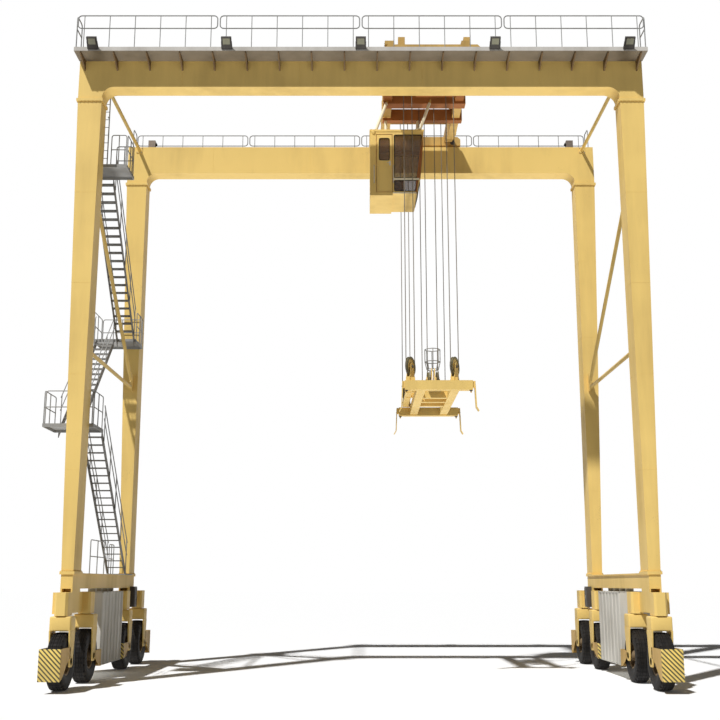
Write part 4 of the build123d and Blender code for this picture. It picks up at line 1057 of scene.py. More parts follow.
    def _rim(self) -> None:
        """The dished rim with its flanges, hub cap and wheel nuts."""
        ring = [(-0.183, 0.407), (-0.196, 0.423), (-0.203, 0.417), (-0.202, 0.4), (-0.18, 0.372),
                (-0.11, 0.36), (0.11, 0.36), (0.18, 0.372), (0.202, 0.4), (0.203, 0.417), (0.196, 0.423),
                (0.183, 0.407), (0.14, 0.388), (-0.14, 0.388)]
        disc = [(0.02, 0.362), (0.05, 0.35), (0.075, 0.31), (0.082, 0.22), (0.07, 0.19), (0.231, 0.152),
                (0.243, 0.14), (0.243, 0.0625), (-0.243, 0.0625), (-0.243, 0.14), (-0.231, 0.152),
                (0.03, 0.18), (0.056, 0.215), (0.05, 0.3), (0.02, 0.335), (-0.01, 0.362)]
        rim, nuts = Shape(), Shape()
        for profile in (ring, disc):
            rim.lathe(profile, (0, 0, self.axle_z))
        nuts.bolts(circle(self.nut_circle_r, 12, (0.08, 0, self.axle_z)), Axis.X, 0.034, 0.03)
        outwards = Matrix.Rotation(math.pi if self.side is Side.LEFT else 0, 4, "Z")
        spot = Matrix.Translation(self._spot().translation) @ outwards
        self._put(rim, "wheel_rim", RIM_BROWN, "wheel", "rim", spot)
        self._put(nuts, "wheel_nuts", BRIGHT, "wheel", spot=spot)


@dataclass
class SideBracing:
    """The tie and diagonal pipes between the legs, and the tie between the girders."""

    x: float = 9.445
    top_x: float = 9.62
    y: float = 3.68
    tie_z: float = 11.1
    diagonal_z: float = 16.7
    top_z: float = 21.65
    radius: float = 0.07
    gusset: float = 0.015
    foot: float = 0.13

    def build(self) -> None:
        """Build both sides as one piece, with the foot plates' bolts as another."""
        pipes, bolts = Shape(), Shape()
        for side in Side:
            self._pipes(pipes, side * self.x)
            top = side * self.top_x
            pipes.rod((top, -self.y, self.top_z), (top, self.y, self.top_z), self.radius, PIPE_SIDES)
            for end in End:
                near, far = end * self.y, end * (self.y - 0.025)
                pipes.box((top - self.foot, top + self.foot), (near, far),
                          (self.top_z - self.foot, self.top_z + self.foot), 0.004)
                places = [(top + dx * 0.1, far, self.top_z + dz * 0.1) for dx, dz in SQUARE]
                bolts.bolts(places, Axis.Y, 0.028, -end * 0.02)
        pipes.finish("side_brace_pipes", YELLOW, "portal", ["side_bracing"])
        bolts.finish("side_brace_bolts", BRIGHT, "portal")

    def _pipes(self, pipes: Shape, x: float) -> None:
        """The tie and the diagonal between two legs, and their gussets.

        Args:
            pipes: The shape that gets them.
            x: Where they are.
        """
        y, z = self.y, self.tie_z
        pipes.rod((x, -y + 0.16, z), (x, y - 0.42, z), self.radius, PIPE_SIDES)
        rise = (self.diagonal_z - z) / (2 * y)
        ends = [(x, end_y, z + rise * (y - end_y)) for end_y in (y - 0.33, -y + 0.23)]
        pipes.rod(*ends, self.radius, PIPE_SIDES)
        tie = [(-y, z - 0.12), (-y, z + 0.12), (-y + 0.26, z + 0.05), (-y + 0.26, z - 0.05)]
        knot = [(y, z - 0.14), (y, z + 0.52), (y - 0.26, z + 0.62), (y - 0.62, z + 0.06),
                (y - 0.62, z - 0.06)]
        z = self.diagonal_z
        head = [(-y, z - 0.42), (-y, z + 0.04), (-y + 0.33, z - 0.19), (-y + 0.33, z - 0.33)]
        for outline in (tie, knot, head):
            pipes.plate(outline, Axis.X, x - self.gusset, x + self.gusset, 0.003)


@dataclass
class Walkway:
    """One girder's walkway: its underside, handrails and floodlights."""

    end: End
    edge_y: float = 5.15
    end_x: float = 10.1
    floor_z: float = 21.64
    hand_z: float = 22.969
    mid_z: float = 22.479
    panel: float = 4.99
    pitch: float = 5.04
    post_pitch: float = 0.9
    tube: float = 0.021
    post_tube: float = 0.015
    end_rail_y: Span = (4.451, 5.063)
    girder_y: float = 4.39
    under_z: float = 21.6
    soffit_x: float = 10.128
    brackets: int = 18
    bracket_x: float = 9.9
    bracket_half: float = 0.023
    bracket_depths: Span = (0.094, 0.384)
    lamp_pitch: float = 4.725
    lamp_half: float = 0.18
    lamp_tube: float = 0.013

    @property
    def name(self) -> str:
        """The end's name in the CAD model."""
        return self.end.name.lower()

    def _out(self, outline: Outline) -> Outline:
        """Turn an outline's distances from the middle towards this end."""
        return [(self.end * y, z) for y, z in outline]

    def build(self) -> None:
        """Dress the deck and build what is under, on and beside it."""
        dress_node([f"{self.name}_walkway"], DECK_GREY)
        self._underside()
        self._handrail()
        self._lamps()

    def _underside(self) -> None:
        """Dark plates under the deck and brown skins on its brackets, both painted shade under the deck."""
        plates, skins = Shape(), Shape()
        sign, z = self.end, self.under_z
        plates.box((-self.soffit_x, self.soffit_x),
                   (sign * (self.girder_y + 0.001), sign * (self.edge_y - 0.001)), (z - 0.004, z))
        tip = self.edge_y - 0.036
        outline = self._out([(self.girder_y, z), (tip, z), (tip, z - self.bracket_depths[0]),
                             (self.girder_y, z - self.bracket_depths[1])])
        for index in range(self.brackets):
            x = -self.bracket_x + index * 2 * self.bracket_x / (self.brackets - 1)
            skins.plate(outline, Axis.X, x - self.bracket_half, x + self.bracket_half)
        # The plates under the deck carry painted shade.
        plates.finish(f"{self.name}_walkway_soffit", PAINTED_SHADE_GREY, "portal")
        # The bracket skins carry painted shade.
        skins.finish(f"{self.name}_walkway_brackets", PAINTED_SHADE_BROWN, "portal")

    def _handrail(self) -> None:
        """Four tube panels with round ends on posts, and the short rails across both ends."""
        shape, sign = Shape(), self.end
        floor, high, middle_z = self.floor_z, self.hand_z, self.mid_z
        y = sign * (self.edge_y - 0.033)
        for index in range(4):
            middle = (index - 1.5) * self.pitch
            half = self.panel / 2 - self.tube
            corners = [(middle - half, y, high), (middle + half, y, high), (middle + half, y, middle_z),
                       (middle - half, y, middle_z)]
            shape.sweep(rounded(corners, 0.13, 6, closed=True), self.tube, TUBE_SIDES, closed=True)
            for post in range(6):
                x = middle + (post - 2.5) * self.post_pitch
                shape.rod((x, y, floor), (x, y, high), self.post_tube, TUBE_SIDES)
                shape.box((x - 0.06, x + 0.06), (y - 0.012 * sign - 0.03, y + 0.032 * sign),
                          (floor, floor + 0.012))
        near, far = (sign * y for y in self.end_rail_y)
        for side in Side:
            x = side * (self.end_x - self.tube)
            corners = [(x, near, floor), (x, near, high), (x, far, high), (x, far, floor)]
            shape.sweep(rounded(corners, 0.1, 4), self.tube, TUBE_SIDES)
            shape.rod((x, near, middle_z), (x, far, middle_z), self.tube, TUBE_SIDES)
        shape.finish(f"{self.name}_walkway_rails", RAIL_GREY, "portal", [f"{self.name}_handrail"])

    def _lamps(self) -> None:
        """Five floodlights that lean out and down: a finned case, a lens in its frame, and a yoke."""
        case, lens = Shape(), Shape()
        sign, tube = self.end, self.lamp_tube
        foot, reach = Vector((0, sign * 5.175, 21.62)), Vector((0, sign * 0.325, 0.315))
        out = Vector((0, sign * 0.696, -0.718))
        body = self._out([(5.175, 21.62), (5.5, 21.935), (5.441, 21.996), (5.165, 21.73)])
        fin = self._out([(5.2, 21.755), (5.43, 21.977), (5.416, 22.0), (5.186, 21.778)])
        yoke = self._out([(5.15, 21.65), (5.15, 21.72), (5.34, 21.86), (5.36, 21.83), (5.2, 21.65)])
        corners = [foot + reach * share + out * depth
                   for share, depth in ((0.42, 0.004), (0.88, 0.004), (0.88, -0.01), (0.42, -0.01))]
        pane = [(corner.y, corner.z) for corner in corners]
        for index in range(-2, 3):
            x = index * self.lamp_pitch
            case.plate(body, Axis.X, x - self.lamp_half, x + self.lamp_half, 0.008)
            for rib in range(9):
                rib_x = x - 0.14 + rib * 0.035
                case.plate(fin, Axis.X, rib_x - 0.004, rib_x + 0.004)
            for hand in HANDS:
                side = Vector((x + hand * 0.164, 0, 0))
                case.rod(foot + reach * 0.04 + side, foot + reach * 0.96 + side, tube, WIRE_SIDES)
                bar = foot + reach * (0.5 + hand * 0.45)
                case.rod(bar + Vector((x - 0.16, 0, 0)), bar + Vector((x + 0.16, 0, 0)), tube, WIRE_SIDES)
            lens.plate(pane, Axis.X, x - 0.125, x + 0.125)
            for hand in HANDS:
                yoke_x = x + hand * 0.187
                case.plate(yoke, Axis.X, yoke_x - 0.004, yoke_x + 0.004)
        case.finish(f"{self.name}_floodlight_cases", DARK, "portal", ["floodlights"] if sign < 0 else [])
        lens.finish(f"{self.name}_floodlight_lenses", LENS, "portal")


@dataclass
class TrolleyTrack:
    """Clips and buffers on the two trolley rails."""

    rail_y: float = 4.035
    top_z: float = 21.8
    buffer_x: float = 9.0
    buffer_lift: float = 0.26
    clip_start: float = -8.4
    clip_pitch: float = 0.6
    clips: int = 29
    clip_height: float = 0.022

    def build(self) -> None:
        """Put a clip on both sides of the rail at each step, and a buffer on each end stop."""
        dress_node(["trolley_rails"], RAIL)
        clips, buffers = Shape(), Shape()
        low, high = self.top_z, self.top_z + self.clip_height
        profile = [(0.0, 0.001), (0.0, 0.07), (0.03, 0.075), (0.06, 0.06), (0.075, 0.001)]
        for end, index, hand in product(End, range(self.clips), HANDS):
            x, y = self.clip_start + index * self.clip_pitch, end * self.rail_y
            clips.box((x - 0.04, x + 0.04), (y + hand * 0.036, y + hand * 0.11), (low, high), 0.004)
            clips.bolts([(x, y + hand * 0.08, high)], Axis.Z, 0.026, 0.02)
        for side, end in CORNERS:
            spot = (side * self.buffer_x, end * self.rail_y, low + self.buffer_lift)
            buffers.lathe([(-side * along, radius) for along, radius in profile], spot, Axis.X, PIPE_SIDES)
        clips.finish("rail_clips", BRIGHT, "portal")
        buffers.finish("rail_end_buffers", SEAL, "portal")


@dataclass(frozen=True)
class Flight:
    """One run of stairs between two levels."""

    lane: Span
    run: Span
    rise: Span

    @property
    def towards(self) -> int:
        """The sign of Y on the way up."""
        return 1 if self.run[1] > self.run[0] else -1

    @property
    def tilt(self) -> float:
        """How much it rises along Y."""
        return (self.rise[1] - self.rise[0]) / (self.run[1] - self.run[0])

    def height(self, y: float) -> float:
        """Give the height of the stringer's upper edge at a place along the run."""
        return self.rise[0] + self.tilt * (y - self.run[0])


@dataclass
class Stairs:
    """The stairs on the left side: rails on the flights and landings, nosings and the ladder."""

    inner_lane: Span = (-9.85, -9.15)
    outer_lane: Span = (-10.7, -9.98)
    levels: tuple[float, ...] = (3.59, 8.55, 12.9, 17.95)
    tube: float = 0.018
    reach_x: float = 10.85
    leg_y: float = 3.68
    rail_lift: float = 1.05
    flight_mid: float = 0.56
    landing_top: float = 1.132
    landing_mid: float = 0.575
    tread_rise: float = 0.25
    ladder_x: Span = (-9.53, -9.15)
    ladder_y: float = -3.52
    ladder_top: float = 21.86
    rung_pitch: float = 0.3

    def flights(self) -> list[Flight]:
        """List the three flights.

        Returns:
            The flights, from the sill upwards.
        """
        runs = ((self.inner_lane, (2.7, -2.25)), (self.outer_lane, (-2.25, 2.3)),
                (self.inner_lane, (2.3, -2.45)))
        return [Flight(lane, run, rise)
                for (lane, run), rise in zip(runs, zip(self.levels, self.levels[1:]))]

    def build(self) -> None:
        """Build the rails, nosings and ladder."""
        dress_node(["stair_landings"], RAIL_GREY)
        dress_node(["stair_stringers", "stair_treads"], TREAD_GREY)
        rails = Shape()
        for flight in self.flights():
            self._flight_rails(rails, flight)
        for start, stop, floor in self._landing_runs():
            self._landing_rail(rails, start, stop, floor)
        rails.finish("stair_tube_rails", RAIL_GREY, "portal", ["stair_handrails"])
        self._nosings()
        self._ladder()

    def _flight_rails(self, rails: Shape, flight: Flight) -> None:
        """Add two sloping rails on five posts, on both sides of a flight, to the rails."""
        start, end = flight.run[0] + flight.towards * 0.15, flight.run[1] - flight.towards * 0.15
        top = self.rail_lift - self.tube
        for x in (flight.lane[0] - self.tube, flight.lane[1] + self.tube):
            for lift in (self.flight_mid, top):
                rails.rod((x, start, flight.height(start) + lift), (x, end, flight.height(end) + lift),
                          self.tube, TUBE_SIDES)
            for index in range(5):
                y = start + (end - start) * (index + 0.1) / 4.2
                z = flight.height(y)
                rails.rod((x, y, z - 0.15), (x, y, z + top), self.tube, TUBE_SIDES)

    def _landing_runs(self) -> list[tuple[Span, Span, float]]:
        """List the level rails.

        Returns:
            Each rail's start and end in X and Y, and the height of its floor.
        """
        lane, gap = self.inner_lane[1] + 0.02, 0.045
        near, far = -self.leg_y + 0.06, self.leg_y - 0.06
        outer, end = -self.reach_x + self.tube, -8.4 - self.tube
        upper, lower = self.inner_lane[0] + self.tube, self.inner_lane[0] - 0.02
        foot, low, middle, high = self.levels
        return [((outer, -2.29), (outer, near), low), ((outer + gap, near), (lane - gap, near), low),
                ((lane, near), (lane, -2.4), low), ((outer, 2.34), (outer, far), middle),
                ((outer + gap, far), (lane - gap, far), middle), ((lane, far), (lane, 2.45), middle),
                ((upper, -2.6), (upper, near), high), ((-9.0, near), (end - gap, near), high),
                ((end, near), (end, -2.6), high), ((end - gap, -2.6), (-9.05, -2.6), high),
                ((lower, 2.76), (lower, far - 0.09), foot), ((-9.228, -2.7), (-9.228, -0.7), 3.55)]

    def _landing_rail(self, rails: Shape, start: Span, stop: Span, floor: float) -> None:
        """A bent tube with a middle rail, a post in its middle and a foot under each upright.

        Args:
            rails: The shape that gets it.
            start, stop: Its ends in X and Y.
            floor: The height it stands on.
        """
        top, middle = floor + self.landing_top, floor + self.landing_mid
        centre = ((start[0] + stop[0]) / 2, (start[1] + stop[1]) / 2)
        path = [(*start, floor), (*start, top), (*stop, top), (*stop, floor)]
        rails.sweep(rounded(path, 0.08, 4), self.tube, TUBE_SIDES)
        rails.rod((*start, middle), (*stop, middle), self.tube, TUBE_SIDES)
        rails.rod((*centre, floor), (*centre, top), self.tube, TUBE_SIDES)
        for x, y in (start, centre, stop):
            rails.box((x - self.tube, x + self.tube), (y - self.tube, y + self.tube), (floor, floor + 0.012))

    def _nosings(self) -> None:
        """A bright nosing along each tread's front edge, and bars across its plate."""
        shape = Shape()
        for flight in self.flights():
            towards, rise = flight.towards, flight.rise[1] - flight.rise[0]
            count = round(rise / self.tread_rise)
            step = rise / count
            x = (flight.lane[0] + 0.024, flight.lane[1] - 0.024)
            for index in range(1, count):
                z = flight.rise[0] + index * step
                front = flight.run[0] + (index * step + 0.118) / flight.tilt - towards * 0.115
                shape.box(x, (front, front + towards * 0.03), (z, z + 0.006), 0.002)
                for bar in range(5):
                    place = front + towards * (0.055 + bar * 0.035)
                    shape.box(x, (place, place + towards * 0.008), (z, z + 0.003))
        shape.finish("stair_nosings", BRIGHT, "portal")

    def _ladder(self) -> None:
        """Round rungs between two flat rails, with wall brackets."""
        shape = Shape()
        left, right = self.ladder_x
        y, foot, top = self.ladder_y, self.levels[3], self.ladder_top
        for x in (left, right - 0.03):
            shape.box((x, x + 0.03), (y, y + 0.06), (foot, top), 0.004)
            for z in (foot + 1.8, 21.35):
                shape.box((x + 0.002, x + 0.028), (-self.leg_y, y + 0.004), (z, z + 0.04), 0.003)
        for index in range(int((top - foot - 0.2) / self.rung_pitch)):
            z = foot + self.rung_pitch * (index + 1)
            shape.rod((left + 0.01, y + 0.03, z), (right - 0.01, y + 0.03, z), 0.012, ROD_SIDES)
        shape.finish("girder_ladder", RAIL_GREY, "portal", ["access_ladder"])


@dataclass
class PowerHouse:
    """A machinery house below a sill: doors, louvres, fittings and a roof edge."""

    side: Side
    inner_x: float = 8.98
    outer_x: float = 10.45
    half_y: float = 1.6
    low_z: float = 0.45
    top_z: float = 2.94
    edge: float = 0.05
    doors_x: tuple[Span, Span] = ((9.03, 9.68), (9.73, 10.4))
    door_z: Span = (0.62, 2.72)
    hinges_z: tuple[float, ...] = (0.85, 1.65, 2.45)
    grip_z: Span = (1.6, 1.76)
    slats: int = 9
    slat_z: float = 2.2
    slat_pitch: float = 0.045

    def build(self) -> None:
        """Dress one house. Its ribs are in the CAD model."""
        name, sign, edge = self.side.name.lower(), self.side, self.edge
        dress_node([f"{name}_power_house"], GREY)
        trim, louvres, steel = Shape(), Shape(), Shape()
        for end, (first, last) in product(End, self.doors_x):
            self._door(end, (sign * first, sign * last), (trim, louvres, steel))
        edges_z = [(z, z + edge) for z in (self.low_z, self.top_z - edge)]
        across = (sign * (self.inner_x + 0.002), sign * (self.outer_x - 0.002))
        for end, z in product(End, edges_z):
            trim.box(across, (end * self.half_y, end * (self.half_y - edge)), z, 0.006)
        for z, x in product(edges_z, (self.inner_x, self.outer_x - edge)):
            trim.box((sign * x, sign * (x + edge)), (-self.half_y, self.half_y), z, 0.006)
        trim.finish(f"{name}_house_doors", GREY, "portal")
        louvres.finish(f"{name}_house_louvres", DARK, "portal")
        steel.finish(f"{name}_house_fittings", BRIGHT, "portal")

    def _door(self, facing: int, span: Span, shapes: tuple[Shape, Shape, Shape]) -> None:
        """One door with its hinges, grip and louvres.

        Args:
            facing: The sign of Y on its outer side.
            span: Its hinge side and its grip side in X.
            shapes: What gets the leaf, the louvres and the fittings.
        """
        trim, louvres, steel = shapes
        low, high = sorted(span)
        inwards = math.copysign(1, span[1] - span[0])
        y, out = facing * (self.half_y - 0.03), facing * self.half_y
        trim.box((low, high), (y, out - facing * 0.004), self.door_z, 0.008, 2)
        hinge_x, hinge_y = span[0] + inwards * 0.02, out - 0.012 * facing
        for z in self.hinges_z:
            steel.rod((hinge_x, hinge_y, z - 0.06), (hinge_x, hinge_y, z + 0.06), 0.011, ROD_SIDES)
        grip_x = span[1] - inwards * 0.07
        steel.box((grip_x - 0.02, grip_x + 0.02), (out - 0.02 * facing, out - 0.002 * facing),
                  self.grip_z, 0.004)
        for slat in range(self.slats):
            z = self.slat_z + slat * self.slat_pitch
            louvres.plate([(y, z), (out - 0.002 * facing, z + 0.004), (y, z + 0.03)], Axis.X,
                          low + 0.08, high - 0.08)


@dataclass
class Trolley:
    """The trolley on its rails: round hangers, stiffeners, bolted joints and the hoist."""

    side_beams: tuple[Span, Span] = ((0.87, 1.2), (3.65, 3.95))
    cross_beams: tuple[Span, Span] = ((-1.5, -1.08), (0.0, 0.28))
    cross_end: float = 4.04
    beam_low: float = 21.45
    beam_top: float = 22.5
    cross_low: float = 21.35
    cross_high: float = 21.82
    skin: float = 0.008
    lap: float = 0.002
    deck_z: Span = (22.56, 22.65)
    hanger_z: Span = (19.8, 21.51)
    hanger_r: float = 0.058
    foot_plate_z: float = 20.025
    wheels_x: Span = (1.22, 4.01)
    wheel_y: float = 4.035
    wheel_z: float = 22.085
    drum_y: float = -0.6
    drum_z: float = 23.22
    drum_r: float = 0.4
    rope_x: Span = (1.68, 3.32)
    rope_pitch: float = 0.034
    motor_y: float = 0.1
    motor_z: float = 22.98
    motor_fins: int = 22
    fin_r: Span = (0.16, 0.19)
    fin_half: float = 0.004

    def build(self) -> None:
        """Dress the frame and build the hoist."""
        # The frame takes the darker yellow copy: painted shade.
        dress_node(["trolley_frame"], PAINTED_SHADE_YELLOW)
        self._hangers()
        self._stiffeners()
        self._cladding()
        self._wheels()
        self._drum()
        self._gear_case()
        self._motor()
        self._deck()

    def _hangers(self) -> None:
        """Round tubes over the cabin's four hangers, with bolted foot plates."""
        tubes, bolts = Shape(), Shape()
        foot_z, head_z = self.hanger_z
        for foot, head in (((0.48, -1.95), (1.04, -1.46)), ((2.15, -1.95), (2.7, -1.46)),
                           ((1.0, -0.25), (1.0, 0.1)), ((2.15, -0.25), (2.3, 0.1))):
            base = Vector((*foot, foot_z))
            run = Vector((*head, head_z)) - base
            start, end = (base + run * (rise / run.z) for rise in (0.215, self.cross_low - self.lap - foot_z))
            tubes.rod(start, end, self.hanger_r, PIPE_SIDES)
            places = [(foot[0] + dx * 0.085, foot[1] + dy * 0.085, self.foot_plate_z) for dx, dy in SQUARE]
            bolts.bolts(places, Axis.Z, 0.026, 0.02)
        tubes.finish("cabin_hanger_tubes", CREAM, "trolley")
        bolts.finish("cabin_hanger_bolts", BRIGHT, "trolley")

    def _stiffeners(self) -> None:
        """Web stiffeners on the side beams and bolts where the beams meet the carriages."""
        ribs, bolts = Shape(), Shape()
        for beam in self.side_beams:
            for hand, face in zip(HANDS, beam):
                for y in (-1.65, -0.8, 0.6, 1.65):
                    ribs.box((face, face + hand * 0.02), (y - 0.05, y + 0.05),
                             (self.beam_low + 0.03, self.beam_top - 0.04), 0.004)
                places = [(face, end * y, 22.42) for end in End for y in (3.9, 4.02, 4.14)]
                bolts.bolts(places, Axis.X, 0.03, hand * 0.022)
        # The stiffeners take the darker yellow copy: painted shade.
        ribs.finish("trolley_web_stiffeners", PAINTED_SHADE_YELLOW, "trolley")
        bolts.finish("trolley_joint_bolts", BRIGHT, "trolley")

    def _wrap(self, first: float, last: float) -> tuple[Span, Span, Span]:
        """Give the spans of the plates below a beam and on its two sides."""
        return ((first - self.skin, last + self.skin), (first - self.skin, first + self.lap),
                (last - self.lap, last + self.skin))

    def _cladding(self) -> None:
        """Primed plates round the beams above the cabin."""
        plates = Shape()
        along, low = (self.side_beams[0][0], self.cross_end), self.cross_low
        for beam in self.cross_beams:
            below, *sides = self._wrap(*beam)
            plates.box(along, below, (low - self.skin, low + self.lap), 0.003)
            for side in sides:
                plates.box(along, side, (low, self.cross_high), 0.003)
        along, low = (-3.5, self.cross_beams[0][0] - 0.01), self.beam_low
        for beam in self.side_beams:
            below, *sides = self._wrap(*beam)
            plates.box(below, along, (low - self.skin, low + self.lap), 0.003)
            for side in sides:
                plates.box(side, along, (low, self.beam_top - 0.4), 0.003)
        plates.finish("cross_beam_plates", RUST_BROWN, "trolley")

    def _wheels(self) -> None:
        """The axle boxes on both sides of each track wheel."""
        boxes = Shape()
        for end, x, hand in product(End, self.wheels_x, HANDS):
            profile = [(0.0, 0.001), (0.0, 0.105), (hand * 0.012, 0.105), (hand * 0.018, 0.09),
                       (hand * 0.018, 0.001)]
            boxes.lathe(profile, (x, end * self.wheel_y + hand * 0.19, self.wheel_z), Axis.Y, PIPE_SIDES)
        boxes.finish("track_wheel_boxes", DARK, "trolley")

    def _drum(self) -> None:
        """The rope drum with its turns of rope, flanges and bearing blocks."""
        drum, blocks = Shape(), Shape()
        r, pitch = self.drum_r, self.rope_pitch
        start, end = self.rope_x
        profile = [(1.42, 0.001), (1.42, 0.085), (1.62, 0.085), (1.62, 0.2), (1.63, 0.21), (1.63, r + 0.06),
                   (1.64, r + 0.07), (1.66, r + 0.07), (1.67, r + 0.06), (1.67, r - 0.02)]
        for index in range(int((end - start) / pitch)):
            x = start + index * pitch
            profile += [(x, r - 0.018), (x + pitch * 0.25, r - 0.004), (x + pitch * 0.5, r),
                        (x + pitch * 0.75, r - 0.004)]
        profile += [(3.33, r - 0.02), (3.33, r + 0.06), (3.34, r + 0.07), (3.36, r + 0.07), (3.37, r + 0.06),
                    (3.37, 0.21), (3.38, 0.2), (3.38, 0.085), (3.56, 0.085), (3.56, 0.001)]
        drum.lathe(profile, (0, self.drum_y, self.drum_z), Axis.X, 40)
        drum.finish("rope_drum_windings", ROPE, "trolley", ["hoist_machinery"])
        floor, top = self.deck_z[1], self.drum_z + 0.12
        outline = [(self.drum_y - 0.26, floor), (self.drum_y + 0.26, floor), (self.drum_y + 0.14, top),
                   (self.drum_y - 0.14, top)]
        for low, high in ((1.42, 1.54), (3.46, 3.56)):
            blocks.plate(outline, Axis.X, low, high, 0.012)
        blocks.finish("drum_bearings", DARK, "trolley")

    def _gear_case(self) -> None:
        """The gear case beside the drum, with its lid."""
        case, y, z = Shape(), self.drum_y, self.drum_z
        case.box((3.56, 3.95), (y - 0.48, y + 0.9), (self.deck_z[1], z + 0.26), 0.03, 2)
        case.box((3.6, 3.91), (y - 0.4, y + 0.82), (z + 0.255, z + 0.29), 0.01)
        case.finish("hoist_gear_case", DARK, "trolley")

    def _motor(self) -> None:
        """The motor with its cowl and cooling fins, its terminal box and its feet."""
        motor, y, z = Shape(), self.motor_y, self.motor_z
        motor.lathe([(2.8, 0.001), (2.8, 0.15), (2.83, 0.175), (2.95, 0.18), (2.96, 0.165), (3.4, 0.165),
                     (3.41, 0.185), (3.45, 0.185), (3.46, 0.15), (3.57, 0.12), (3.57, 0.001)], (0, y, z),
                    Axis.X, 28)
        inner, outer = self.fin_r
        half = self.fin_half
        for index in range(self.motor_fins):
            turn = math.tau * index / self.motor_fins
            out, up = math.cos(turn), math.sin(turn)
            if abs(up + 1) < 0.15:
                continue
            fin = [(y + reach * out - shift * up, z + reach * up + shift * out)
                   for reach, shift in ((inner, half), (outer, half), (outer, -half), (inner, -half))]
            motor.plate(fin, Axis.X, 2.97, 3.39)
        motor.box((3.05, 3.3), (y - 0.09, y + 0.09), (z + 0.16, z + 0.26), 0.012)
        for x in (3.0, 3.33):
            motor.box((x, x + 0.07), (y - 0.11, y + 0.11), (self.deck_z[1], z - 0.13), 0.006)
        motor.finish("hoist_motor", GREY, "trolley")

    def _deck(self) -> None:
        """The two plates under the machinery, on pads over the side beams."""
        deck, low_z = Shape(), self.deck_z[0]
        for along in ((self.drum_y - 0.52, -0.202), (0.202, self.drum_y + 1.0)):
            deck.box((0.87, 3.95), along, self.deck_z, 0.005)
            for beam in self.side_beams:
                deck.box(beam, along, (self.beam_top, low_z))
        # The deck takes the darker yellow copy: painted shade.
        deck.finish("hoist_deck", PAINTED_SHADE_YELLOW, "trolley")


